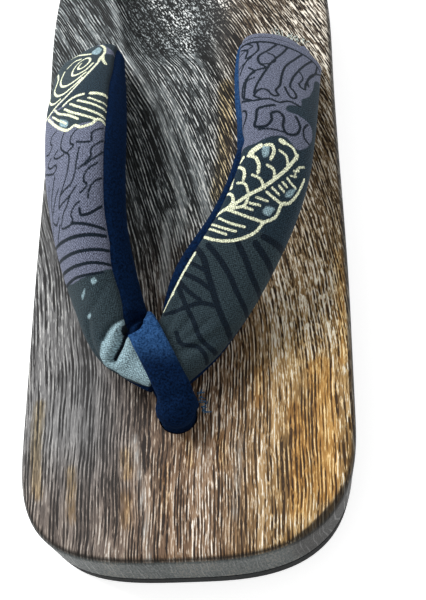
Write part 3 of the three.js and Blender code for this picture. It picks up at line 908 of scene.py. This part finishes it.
# %% Print of the outer arm
OUTER_PRINT = {
    "ink": """
    0.7 15.6,14 14,8 13.3,2 13.3,-4 14.6,-9.5 17,-15 / 0.8 20.8,14 18.4,8 17.1,2 17,-4 18,-9.5
    19.6,-16 / 0.8 20,12.2 26,11.4 31.6,8.8 36,7.4 38.6,7.2 38.4,5.6 36.8,5 / 0.8 19.4,9.6 25,7
    31,4.4 36,2.6 40,2 42.6,3.6 45,3.9 45.8,2.2 43.6,1 41,0.2 / 0.8 18.4,5.8 24,3.2 29.6,0.4
    35,-0.8 40.4,-1.4 43.8,-2.8 46,-2 46.6,-4 44.4,-5.6 44.2,-7.8 47,-9.8 48.6,-8 / 0.8 17.6,0.6
    23,-1.4 29,-4.2 35,-6.4 41,-8.6 45.6,-9.8 / 0.8 17.6,-3.2 22,-5.6 26.6,-8.6 30.6,-8 32.6,-6.2
    35.2,-10.4 39.6,-12.4 46.4,-13.2 / 0.7 23.8,-5.6 25,-3.4 28,-3.2 30,-5 30.8,-7.6 / 0.7
    18.6,-9.4 22.2,-8.8 25,-10 28.6,-12.6 34,-15 / 0.7 21,-15 22.6,-12.4 26.8,-12.8 25.8,-10.6 /
    0.8 47.4,-14.4 48.8,-12 49.4,-9 48.6,-5 49.4,-2 47.8,1.4 48.6,5 / 0.9 51,-3.4 52.2,-6.6
    53.4,-8.8 57,-9 59.8,-9.2 59.6,-5.8 57,-4.2 54.6,-4.4 53.4,-2.2 55,-0.4 58.4,-0.4 60.6,1.2
    59.6,4.2 56.4,5.2 53.4,3.6 / 0.7 54.2,8 56.4,6.6 59.6,7 60.8,9.4 / 0.7 51.6,-14.4 53.4,-12.6
    56.6,-12.8 59,-14.4 / 0.7 20.6,16 24.6,12.8 28.4,10 33,8.2 36.4,8.6 / 0.6 27,-11 29,-13 31,-16
    / 0.7 32.4,-11.6 35,-9.6 37.4,-12 41,-13.6 46,-13.8 48.8,-11 / 0.6 38,-9.6 39,-12.2 / 0.6
    60.4,0.6 60.4,-4 61,-8 / 0.6 30,5 33,6.4 36.4,5.4 / 0.6 19,-12.4 20.6,-11 23.4,-14.6 24,-17 /
    1.6 91.6,16 90.4,10 90.2,4.6 / 1.7 98,16 94.8,9 92.6,3.6 / 1.7 105.4,16 101.4,9 97.8,4 94.8,-1
    / 1.7 113.6,15.4 108.6,8.6 104.4,3 101.4,-3 99.8,-8 / 1.9 122,14 118,8.4 113,3 107.6,-2.6
    103.8,-7 102.6,-10.6 / 1.4 114.6,4.6 116,-0.4 119,-3.8 122.4,-7 125,-9.6 / 1.6 127.6,12 126.4,5
    122,0 118.4,-4.4 114.6,-9 / 1.4 131.4,12 129.2,6 131.4,1 129,-2.4 / 1.3 111.4,1.6 110.4,-4
    110.6,-10 / 1.3 115.2,-1 114.4,-5.4 113,-9.8 / 1.2 106.8,-4 107,-10
    """,
    "cream": """
    1 66.4,5.4 70,3.6 74,1 78,-2 81.4,-5 85,-7.4 88,-9.6 92.6,-13.4 / 0.8 81.4,-5 84.6,-4.8 87,-8 /
    0.9 71.6,9.8 75.8,9 79,7.4 80.2,5.4 84,5.2 86.8,2.8 90,2 93.4,-0.6 96,-4 97.8,-8 98.6,-12.4 /
    0.7 80.2,5.4 79.6,2.6 78.8,-0.4 / 0.8 86.6,3 87.2,-2 87.8,-9 / 0.6 68.6,8.6 69.6,6.6 71.4,6 /
    0.5 70.4,7 71,5.2 / 0.5 72.2,6.6 72.4,4.8 / 0.6 74.8,7.6 74.2,5.6 73.4,4 / 0.6 75.6,4.8 74.8,3
    / 0.6 77,4.6 76,2.2 / 0.6 78.2,3.4 77.2,0.6 / 0.6 81,1 81.2,-2.6 / 0.7 82.8,-0.6 83.4,-3.6 /
    0.7 84.8,-2 85.2,-5.2 / 0.7 90.2,-1.6 91,-5.6 91.2,-10 / 0.7 92.4,-3.2 93.2,-7 94,-11.8 / 0.7
    94.4,-5.2 95,-8.4 95.8,-12.6 / 1.6 63.6,-0.6 63.9,0.4 / 0.8 63.8,0.4 64.8,3.6 67.4,5.4 / 0.7
    66.8,-0.6 68,2 71.4,3.2 / 1 66.2,-5 65.8,-3.2 67.6,-2.2 70,-2.6 / 0.7 72,-3.2 72.6,-0.8 75,0.2
    / 1 70.4,-9.6 70.8,-7.2 72.6,-5.6 74.6,-5 / 0.7 75.8,-6.4 76.2,-3.6 78.2,-1.6 / 0.9 74,-12.8
    74.6,-10 76,-8.8 77.6,-8.4 / 0.7 79.2,-9.8 78.8,-7.4 80.8,-5.4 / 0.9 83.4,-12.8 83,-10.2
    84.4,-8.6 87.2,-8.8 / 1.7 66.6,-6.6 68.4,-8.4 69.6,-9 / 1.1 71,-11.2 72.4,-11.8 / 1.5
    78.4,-12.6 81,-11.4 / 1 104,-10.4 110,-10.2 115,-10.3 119,-10.6 124,-11 / 1.8 117,-10.4
    119.4,-11.6 120.4,-13
    """,
    "slate": """
    26,18 30,11.8 36,10.4 41.4,8.6 45,5.8 48,5.4 49.8,1 52.2,0.6 52.6,4.4 54.2,9.4 58,10.4 62,8.6
    64.6,5 62,1 62.6,-3 65.4,-8 70,-14 84,-17 99.6,-15 98.6,-6 94,1 90,4 92,18 60,22
    """,
    "green": """
    91,22 89.4,3.6 93,0.4 97.8,-6 98.8,-19 150,-20 150,22
    """,
    "pale": """
    74.6,8 77.2,7.2 78,5.4 76.4,5.6 / 82,4 84.4,3.2 84.2,1 82.2,1.6 / 66,-4 69,-3.6 70,-5 67,-6
    """,
}

# %% Print of the inner arm
# In the inner arm's table of blue-black strokes, the last two, along the deep fold beside the
# loop, are painted shade in that fold, not print.
INNER_PRINT = {
    "ink": """
    0.6 57,11.2 57.8,8.2 59.5,6.2 61.4,6.2 62.8,7.6 63.7,5.4 / 0.6 58,17 60,13.7 62.6,13.7
    62.8,11.5 62,8.7 / 0.6 55.6,2.9 57.8,1.8 60.6,1.5 62.8,3.2 65,5.8 68.3,5.7 71,4.6 73.3,2.9
    75,1.4 78,0.2 / 0.6 52.6,-1.8 53.1,-4.1 55,-4.9 57.3,-3.8 58.7,-5.7 57.8,-8 / 0.6 60.6,-0.2
    61.7,-2.4 63.4,-0.2 63.7,3.2 / 0.6 61.2,-4.1 62.6,-6.3 64.5,-4.6 65,-1.3 66.4,-0.7 67,-2.9
    65.3,-6.8 64,-9 / 0.6 62,17.6 64.9,13.9 67.2,13.7 69.1,11.8 70,9.8 / 0.6 65.4,18 67.4,15.4
    69.4,12 / 0.6 69,16 71,12.6 73.3,11.5 74.7,12.6 76,11.5 76.6,10.4 / 0.6 73,17.4 74.1,14.8
    76,13.4 78.3,12.9 / 0.6 64,9.8 68.3,9 71,8.4 73.3,7 74.1,4.3 74.9,1.5 / 0.6 74.4,9 76,7
    76.9,4.8 77.4,2.6 78.3,0.4 / 0.6 76.6,6.5 78.8,4.8 80.5,2.6 83.3,0.7 / 0.6 78.8,10.1 79.7,8.2
    81.6,6.5 83.3,7 84.4,5.4 84.4,2.6 84.1,0.7 / 0.9 81,17 82.7,13.2 82.7,10.4 80.8,10 / 0.8
    87.6,17 85.5,11.5 84.4,7.6 84.2,6 / 0.6 72.7,0.4 74.9,-1.8 78.3,-3.8 / 0.6 68.3,-1.6 71.6,-3.2
    74.9,-4.6 80,-5.2 84,-7 / 0.6 80.5,-0.2 82.2,-2.4 81,-4.6 / 0.6 82.7,-0.2 86.6,-3.5 / 0.6
    69.4,-6 73,-7 78,-9 / 1 89.6,17 88.4,12 87.7,6 87.5,0 87.8,-9 / 1 94,17 92.6,12 91.9,6 91.8,0
    92.2,-9 / 1 98.6,16 96.4,11 95.6,5 95.5,0 95.8,-9 / 0.9 100.4,12.6 99,5 98.8,0 99.4,-9 / 2.2
    118.6,10 119.4,6.9 121,4.4 / 1 121,4.4 122.7,1 123.3,-2.1 123.7,-5.3
    """,
    "cream": """
    0.8 24.4,5.2 26.4,4.4 28.6,5.4 28.8,7.4 26.4,8.8 23.4,8.2 21.8,6 22.6,3.2 26,2 30,2.8 32,5.6
    31.6,8.6 28.4,10.4 / 0.8 14,9.8 17,12 21,12.8 25,12.2 29,11.9 34,10 38,7 40.4,3 41,-2 41.6,-7
    40,-11 / 0.8 33.4,8.8 35,6 34.8,2 31.6,-1.8 26,-3.8 20,-3.4 / 0.8 35.8,8 37.6,5 37.8,0.6
    35,-3.6 29,-6.4 22,-6.2 16,-8 / 0.7 19.8,4 17.6,0.6 19,-2.4 / 0.7 20,8 17,4.4 13,0.4 11,-3 /
    0.7 39.2,-1 38,-5 33,-8.6 27,-10 / 1.1 23.6,12.8 26,13.2 28.8,14.6 / 0.9 44,1 43.8,5 44.6,9.6 /
    1.2 45,12 45.4,17.6 / 0.7 42.4,-3.4 46,-1 50,3.8 54,8.6 / 0.6 44.4,-4.6 48.8,-1 53,3.4 / 0.7
    45.8,4.4 49,7.8 51.8,12 54.4,17.6 / 0.7 46.2,1.8 50,5.6 53.4,10.6 55.2,14 / 0.7 46.4,7.6
    48.6,11 50.6,15 51.6,18.4 / 0.6 46.8,11.4 48.4,14.6 49.2,18.4 / 0.9 56.4,18.4 55.2,15.2 57,13.2
    57.4,9.8 55.8,7.4 56,4.4 53.4,0.8 49,-3.2 43,-7.4
    """,
    "slate": """
    18,22 22,13 29,12.4 36,9.4 40.8,4 42.4,-3.4 45,3 50,8 47,22 / -4,22 -4,-22 15,-22 14,-6 13,9
    16,12.4 20,22
    """,
    "green": """
    100.4,22 99.8,12 99.8,0 100.4,-22 150,-22 150,22 / 14,9 20,12.6 34,9.8 40.6,3 41,-6 40,-22
    10,-22 10,0 / 42,-6 45,2 47,20 55,20 56,8 53,0
    """,
    "pale": """
    115.6,22 116.1,9 116.6,3.4 118.2,-1.3 119.9,-4.7 121.8,-8.4 125,-9.4 131,-8.8 150,-8 150,22 /
    15.4,9.4 18.4,11.4 22,10.6 19,8 / 49,0 52.6,4 54.4,3.6 51.6,0 / 102.8,4.6 104.2,3.4 105.6,0.8
    104.4,1.4 / 110,0.8 111,0.4 111.4,-1.6 110.4,-1 / 101,9.6 102.4,9.8 102.8,8 101.6,8
    """,
}

# %% [markdown]
# ## Creases
#
# The stuffing is firm, so the cloth is smooth along the arms and creases only where it is held:
# at the hem that turns down into the hole, at the seams, and beside the toe loop. The inner arm
# is pinched there into one deep fold with a soft roll before it. Each crease is a stroke with a
# depth and a width, and a roll is a stroke with a negative depth.

# %% Creases and seams
SEAM_DEPTH = 0.55
SEAM_REACH = 0.9
OUTER_CREASES = """
    0.45 0.7 15.6,14 14,8 13.3,2 13.3,-4 14.6,-9.5 17,-15 / -0.3 1.4 18,14 16.2,8 15.2,2 15.2,-4
    16.4,-9.5 18,-15 / 0.6 1.4 119,13 126,8 134,3 / 0.5 1.1 121,9 128,5.4 135,1 / 0.45 1.1 120,4
    128,1.6 136,-1 / 0.5 1.2 122,-1 130,-2 137,-3 / 0.6 1.3 118,-7 127,-6 136,-5 / 1 3.4 63,-17
    62.6,-13 64,-9 / 2.6 4 5,6 8,9 10,13
"""
INNER_CREASES = """
    1.1 1 115.6,14 116,10 116.4,6.6 117,2.8 118.4,-1 / -0.9 1.5 118,6 119.2,3 120.6,-1 121.6,-5
    123,-8 / 3.2 1.5 118,14 118.8,10 119.6,6.9 121,4.4 / 2.6 0.9 121,4.4 122.7,1 123.3,-2.1
    123.7,-5.3 / -0.8 1.8 124,5 125.4,2 126.4,0 126.6,-4 / 1.6 2.6 122,16 124,11 126.4,7 / 0.6 1.2
    112,-2 118,-7 126,-10 / 0.5 1.1 108,-9 116,-12 124,-14 / 0.3 1 104,12 108,6 110,0
"""


def relief(arm, places, seams):
    """How far the cloth stands in or out at places on it, in mm."""
    result = np.zeros(places.shape[:-1])
    creases = read_strokes(OUTER_CREASES if arm is outer_arm else INNER_CREASES)
    for depth, width, *stroke in creases:
        gap = distance(places, [(0, *stroke)])
        result -= depth * np.exp(-((gap / width) ** 2))
    for seam, side in zip(seams, (1, -1)):
        gap = np.abs(places[..., 1] - side * seam[:, None])
        result -= SEAM_DEPTH * np.exp(-((gap / SEAM_REACH) ** 2))
    return result * smooth((places[..., 0] + 1) / 4)  # none inside the hole

# %% Build the strap
strap_pieces = {"face": [], "backing": []}
for arm, arm_name, tables in (
    (outer_arm, "outer", OUTER_PRINT),
    (inner_arm, "inner", INNER_PRINT),
):
    girth = half_girth(arm)
    seams = seam_places(arm, girth)
    for layer, cloth in (("face", "printed_cotton"), ("backing", "velveteen")):
        t = around(arm, girth, seams, layer)
        across, up, out_across, out_up = on_section(girth, t)
        cloth_places = np.stack([np.broadcast_to(arm.run[:, None], t.shape), t], axis=-1)
        lift = relief(arm, cloth_places, seams)
        across, up = across + lift * out_across, up + lift * out_up
        rings = (
            arm.middle[:, None]
            + across[..., None] * arm.across[:, None]
            + up[..., None] * arm.up[:, None]
        )
        wall = np.linspace(rings[:, -1], rings[:, 0], SEAM_POINTS + 2, axis=1)[:, 1:-1]
        marks = {"along": cloth_places[..., 0], "around": t}
        if layer == "face":
            for kind, text in tables.items():
                measure = distance if kind in ("ink", "cream") else inside
                marks[kind] = measure(cloth_places, read_strokes(text))
        elif arm is outer_arm:
            # painted highlight along the seam of the outer arm's backing near its hole
            near_hole = 1 - smooth((cloth_places[..., 0] - 46) / 26)
            marks["rubbed"] = 0.8 * smooth((4 - t) / 8) * near_hole
        marks = {
            kind: np.hstack([values, np.repeat(values[:, -1:], SEAM_POINTS, axis=1)])
            for kind, values in marks.items()
        }
        piece = skin(f"strap_{layer}_{arm_name}_arm", np.hstack([rings, wall]), marks)
        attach(piece, "root")
        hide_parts(f"strap_{layer}")
        strap_pieces[layer].append(piece)
        print(piece.name, len(piece.data.polygons), "faces")

# %% [markdown]
# ## Printed cotton
#
# Plain woven cotton, dyed and printed, matt, with a fine grain from its threads. The threads
# are about 0.4 mm apart. They are drawn 0.85 mm apart here, since finer ones would not show. The
# distances that the cloth carries are turned into lines with a soft edge, and a little noise
# roughens that edge as ink does on thread.

# %% Printed cotton
THREAD = 0.85
GROUND = paint("626779")
DYES = (  # kind, softness of its edge and how far it ran into the cloth in mm, and colour
    ("slate", 0.2, 0, "22313b"),
    ("green", 0.2, 0, "2d3a40"),
    ("pale", 0.3, 0, "87a0a8"),
    # blue-black print, and on the inner arm painted shade in the fold
    ("ink", 0.16, 0.03, "101b25"),
    ("cream", 0.14, 0, "e2e6c8"),
)
cotton, shader, node = new_finish(
    "printed_plain_weave_cotton", Roughness=0.9, Specular_IOR_Level=0.1, Sheen_Weight=0.04
)
carried = {
    kind: node("Attribute", attribute_name=kind).outputs["Fac"]
    for kind in ("along", "around", "ink", "cream", "slate", "green", "pale")
}
on_cloth = node("CombineXYZ", carried["along"], carried["around"])
rough_edge = node("TexNoise", Vector=on_cloth, Scale=2.2, Detail=2)
rough_edge = node("MapRange", rough_edge, 0, 1, -0.3, 0.3)
colour = GROUND
for kind, soft, spread, code in DYES:
    ragged = node("Math ADD", carried[kind], rough_edge)
    mask = node("MapRange", ragged, soft + spread, spread - soft, **SOFT)
    colour = node("Mix", mask, colour, paint(code), data_type="RGBA")
threads = [
    node("Math SINE", node("Math MULTIPLY", carried[way], 2 * math.pi / THREAD))
    for way in ("along", "around")
]
weave = node("Math MULTIPLY", *threads)
slub = node("TexNoise", Vector=on_cloth, Scale=2.1, Detail=2, Roughness=0.7)
weave_tone = node("MapRange", weave, -1, 1, 0.66, 1.34)
slub_tone = node("MapRange", slub, 0.34, 0.66, 0.35, 1.6)
colour = node("VectorMath SCALE", colour, node("Math MULTIPLY", weave_tone, slub_tone))
height = node("Math ADD", node("Math MULTIPLY", weave, 0.5), slub)
weave_bump = node("Bump", Height=height, Strength=0.7, Distance=0.00018)
finish(shader, Base_Color=colour, Normal=weave_bump)
dress(cotton, *strap_pieces["face"])

# %% [markdown]
# ## Navy velveteen
#
# Cotton velveteen has a short dense pile. Seen along the pile it is nearly black, and where it
# turns away its tips catch the light, so the edges glow blue. Sheen gives that, and a fine bump
# breaks it up into tufts. At the back of the loop, and on the outer arm near its hole, the pile is
# painted paler as a highlight where it catches the lamp.

# %% Velveteen
velveteen, shader, node = new_finish(
    "navy_cotton_velveteen",
    Roughness=0.95,
    Specular_IOR_Level=0.05,
    Sheen_Weight=0.1,
    Sheen_Roughness=0.35,
    Sheen_Tint=paint("3b74b8"),
)
object_place = node("TexCoord").outputs["Object"]
# Tufts 0.7 mm apart: real ones are half as wide, but would be lost at this size of picture.
tufts = node("TexNoise", Vector=object_place, Scale=1500, Detail=3, Roughness=0.7)
worn = node("TexNoise", Vector=object_place, Scale=140, Detail=2)
worn = node("MapRange", worn, 0.35, 0.7, 0, 0.24)
rubbed = node("Attribute", attribute_name="rubbed").outputs["Fac"]
pile = node("ValToRGB", tufts, stops=((0.36, paint("010817")), (0.64, paint("0a2346"))))
# paler pile for the painted highlight
highlight_pile = node("ValToRGB", tufts, stops=((0.36, paint("0f294b")), (0.64, paint("325888"))))
for share, over in ((worn, paint("081f3e")), (rubbed, highlight_pile)):
    pile = node("Mix", share, pile, over, data_type="RGBA")
nap = node("Bump", Height=tufts, Strength=0.8, Distance=0.0004)
finish(shader, Base_Color=pile, Normal=nap)
dress(velveteen, *strap_pieces["backing"])

# %% [markdown]
# ## Toe loop
#
# The loop is a folded band of velveteen that grips the crossing of the two arms, then swells
# into a stuffed stem which is pulled into the toe hole. Its solid is copied from the CAD model
# and remeshed into small even faces. Smoothing draws it in a little, and then it is blown up
# again as cloth, so that the corners go round and the sides swell. The neck between band and
# stem is pressed in.

# %% Toe loop
LOOP_VOXEL = 0.6
LOOP_ROUNDS = 10
LOOP_PRESSURE = 4
LOOP_CAP = 1.1  # how far a point may be blown, in mm
CLOTH_FRAMES = 12
TOP_EDGE_FROM = 50  # from the toe, where the pull on the top edge starts
TOP_EDGE_PULL = (-1.2, 2.6, 1.3)  # how far the top edge is drawn back and up over the arms
HIGHLIGHT_FROM = 54  # from the toe, where the painted highlight on the loop starts
HIGHLIGHT_LENGTH = 9
LOOP_CREASES = (  # depth, width, x, from toe, z of a dent or, below 0, of a swelling, in mm
    (2.3, 2.8, -7.8, 50.6, 36.0),
    (1.0, 2.4, -1.6, 50.2, 41.0),
    (0.9, 2.2, 5.6, 48.4, 38.0),
    (-1.6, 3.2, -13.4, 72.2, 40.0),
)


def soften(obj, rounds):
    bm = bmesh.new()
    bm.from_mesh(obj.data)
    for _ in range(rounds):
        bmesh.ops.smooth_vert(
            bm, verts=bm.verts, factor=0.5, use_axis_x=True, use_axis_y=True, use_axis_z=True
        )
    bm.to_mesh(obj.data)
    bm.free()


def puffed(obj, pressure, cap):
    """Blows a closed mesh up as cloth and keeps each point within a distance in mm."""
    start = points_of(obj)
    cloth = obj.modifiers.new("stuffing", "CLOTH").settings
    cloth.use_pressure = True
    cloth.uniform_pressure_force = pressure
    cloth.effector_weights.gravity = 0
    cloth.quality = 4
    for step in range(1, CLOTH_FRAMES + 1):
        bpy.context.scene.frame_set(step)
    settle(obj)
    way = points_of(obj) - start
    length = np.linalg.norm(way, axis=1, keepdims=True)
    way *= np.minimum(1, cap / np.maximum(length, 1e-9))
    obj.data.vertices.foreach_set("co", ((start + way) * MM).ravel())
    obj.data.update()

# %% Shape of the loop
loop_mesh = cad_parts["toe_loop"].data.copy()
loop_mesh.materials.clear()
loop = bpy.data.objects.new("toe_loop_of_velveteen", loop_mesh)
bpy.context.scene.collection.objects.link(loop)
bm = bmesh.new()
bm.from_mesh(loop_mesh)
bmesh.ops.remove_doubles(bm, verts=bm.verts, dist=1e-6)
bm.to_mesh(loop_mesh)
bm.free()
even = loop.modifiers.new("even faces", "REMESH")
even.mode, even.voxel_size = "VOXEL", LOOP_VOXEL * MM
settle(loop)
soften(loop, LOOP_ROUNDS)
puffed(loop, LOOP_PRESSURE, LOOP_CAP)
places = points_of(loop)
normals = np.array([v.normal for v in loop.data.vertices])
pull = smooth((places[:, 1] + HEEL_END - TOP_EDGE_FROM) / 14)[:, None]
places = places + pull * TOP_EDGE_PULL
dent = sum(
    depth * np.exp(-np.sum((places - (x, from_toe - HEEL_END, z)) ** 2, axis=1) / width**2)
    for depth, width, x, from_toe, z in LOOP_CREASES
)
loop.data.vertices.foreach_set("co", ((places - normals * dent[:, None]) * MM).ravel())
# painted highlight at the back of the loop, where it faces the lamp
mark(loop, "rubbed", smooth((places[:, 1] + HEEL_END - HIGHLIGHT_FROM) / HIGHLIGHT_LENGTH))
rounding = loop.modifiers.new("rounding", "SUBSURF")
rounding.levels = rounding.render_levels = 1
loop.data.shade_smooth()
settle(loop)
loop.data.shade_smooth()
dress(velveteen, loop)
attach(loop, "root")
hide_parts("toe_loop")
print("toe loop:", len(loop.data.polygons), "faces")

# %% [markdown]
# ## Knots below the block
#
# The core cord of each strap end is knotted under the block, and so is the cord of the loop. An
# overhand knot drawn tight follows a trefoil, so each knot is a thick tube along that curve,
# pressed into the room of its solid.

# %% Knots
def tube(name, line, radius, sides=12):
    """Closed tube along a line of points in mm. The radius is a number or one for each point."""
    line = np.asarray(line, dtype=float)
    ahead = unit(np.gradient(line, axis=0))
    side = unit(np.cross(ahead, np.where(np.abs(ahead[:, 2:]) > 0.9, [[1, 0, 0]], [[0, 0, 1]])))
    up = np.cross(side, ahead)
    turn = np.linspace(0, 2 * math.pi, sides, endpoint=False)
    radius = np.broadcast_to(radius, len(line))[:, None, None]
    return skin(name, line[:, None] + radius * (
        np.cos(turn)[None, :, None] * side[:, None] + np.sin(turn)[None, :, None] * up[:, None]
    ))


KNOTS = (  # name, node, x, from toe, z, radius, half height
    ("knot_under_toe", "toe_knot", -2.6, 46, 7.3, 8, 3.8),
    ("knot_outer_heel", "rear_knot_outer", 34, 175.6, 6.6, 6.5, 3.6),
    ("knot_inner_heel", "rear_knot_inner", -34, 175.6, 6.6, 6.5, 3.6),
)
CORD_SHARE = 0.3  # thickness of the cord as a share of the knot's radius

hemp, shader, node = new_finish("twisted_hemp_cord", Roughness=0.9)
fibre = node("TexNoise", Vector=node("TexCoord").outputs["Object"], Scale=900, Detail=4)
hemp_tone = node("ValToRGB", fibre, stops=((0.3, paint("2c2722")), (0.7, paint("4b4238"))))
twist = node("Bump", Height=fibre, Strength=0.8, Distance=0.0003)
finish(shader, Base_Color=hemp_tone, Normal=twist)

for knot_name, solid, x, from_toe, z, radius, half_height in KNOTS:
    turn = np.linspace(0, 2 * math.pi, 97)
    thick = CORD_SHARE * radius
    reach = (radius - thick) / 3
    line = np.column_stack([
        x + reach * (np.sin(turn) + 2 * np.sin(2 * turn)),
        from_toe - HEEL_END + reach * (np.cos(turn) - 2 * np.cos(2 * turn)),
        z - (half_height - thick) * np.sin(3 * turn),
    ])
    knot = tube(knot_name, line, thick)
    dress(hemp, knot)
    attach(knot, "root")
    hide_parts(solid)
    print(knot_name, len(knot.data.polygons), "faces")

# %% [markdown]
# ## Frayed threads
#
# Where a cloth is cut and tucked in, single threads work loose: at the hem that goes down into
# the outer hole, and at the stem of the loop. They are real tubes, a quarter of a millimetre
# thick, since a painted thread can't leave the surface. A fixed seed bends each one its own way.

# %% Frayed threads
THREAD_RADIUS = 0.13
THREAD_STEPS = 7
THREAD_LENGTHS = (1.2, 3.2)
THREAD_BEND = 0.3  # spread of the turn at each step
chance = random.Random(11)
# Name, slot, colour, number, spread of the roots, their first and last place, and the way out.
FRAYS = (
    ("frayed_hem_threads", "printed_cotton", "dbe6de", 26, 0.5,
     (29.6, 182.4, 38.2), (40.0, 177.6, 38.2), (0.2, 0.6, 0.1)),
    ("frayed_loop_threads", "velveteen", "3f6d94", 16, 0.6,
     (4.4, 50.6, 34.6), (5.4, 45.6, 31.5), (0.95, -0.2, 0.1)),
)


def loose_thread(start, way, length):
    """Middle line of a thread that starts straight and then wanders."""
    place, way = Vector(start), Vector(way).normalized()
    line = [tuple(place)]
    for _ in range(THREAD_STEPS):
        way = (way + Vector([chance.gauss(0, THREAD_BEND) for _ in range(3)])).normalized()
        place = place + way * length / THREAD_STEPS
        line.append(tuple(place))
    return line


for fray_name, cloth, shade, number, spread, first, last, way in FRAYS:
    strands = []
    for i in range(number):
        share = i / (number - 1)
        root = [a + (b - a) * share + chance.gauss(0, spread) * 0.5 for a, b in zip(first, last)]
        root[1] -= HEEL_END
        line = loose_thread(root, way, chance.uniform(*THREAD_LENGTHS))
        strands.append(tube(f"{fray_name}_{i}", line, THREAD_RADIUS, sides=5))
    bm = bmesh.new()
    for strand in strands:
        bm.from_mesh(strand.data)
        bpy.data.objects.remove(strand)
    frays = finished(bm, fray_name)
    lint, shader, node = new_finish(f"{cloth}_lint", Roughness=0.9, Specular_IOR_Level=0.1)
    uneven = node("TexNoise", Vector=node("TexCoord").outputs["Object"], Scale=1500)
    lint_tone = node("ValToRGB", uneven, stops=((0.3, paint("1c2830")), (0.5, paint(shade))))
    finish(shader, Base_Color=lint_tone)
    dress(lint, frays)
    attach(frays, "root")
    print(fray_name, len(frays.data.polygons), "faces")

# %% [markdown]
# ## Floor and light
#
# The sandal stands on a plain white sheet that is bright enough to have no edge in the picture.
# One broad lamp from the upper left gives soft shadows beside the straps, and an even white sky
# fills them. Both are plain, so the finishes show as they are.

# %% Floor and light
FLOOR_GAP = 0.1  # so that the floor and the pads don't lie in one plane
bm = bmesh.new()
bmesh.ops.create_grid(bm, x_segments=1, y_segments=1, size=3)
bmesh.ops.translate(bm, verts=bm.verts, vec=(0, 0, -FLOOR_GAP * MM))
floor = finished(bm, "floor")
paper, shader, node = new_finish(
    "matt_white_paper",
    Base_Color=paint("f2f2f2"),
    Roughness=0.9,
    Emission_Color=paint("ffffff"),
    Emission_Strength=0.7,
)
dress(paper, floor)

world = bpy.data.worlds.new("studio")
world.use_nodes = True
finish(world.node_tree.nodes["Background"], Color=(1, 1, 1, 1), Strength=0.52)
bpy.context.scene.world = world
bpy.context.scene.view_settings.view_transform = "Standard"

key = bpy.data.lights.new("key", "AREA")
key.energy = 10
key.size = 0.6
key_lamp = bpy.data.objects.new("key", key)
key_lamp.location = (-0.5, 0.35, 0.7)
key_lamp.rotation_mode = "QUATERNION"
key_lamp.rotation_quaternion = (-Vector(key_lamp.location)).to_track_quat("-Z", "Y")
bpy.context.scene.collection.objects.link(key_lamp)
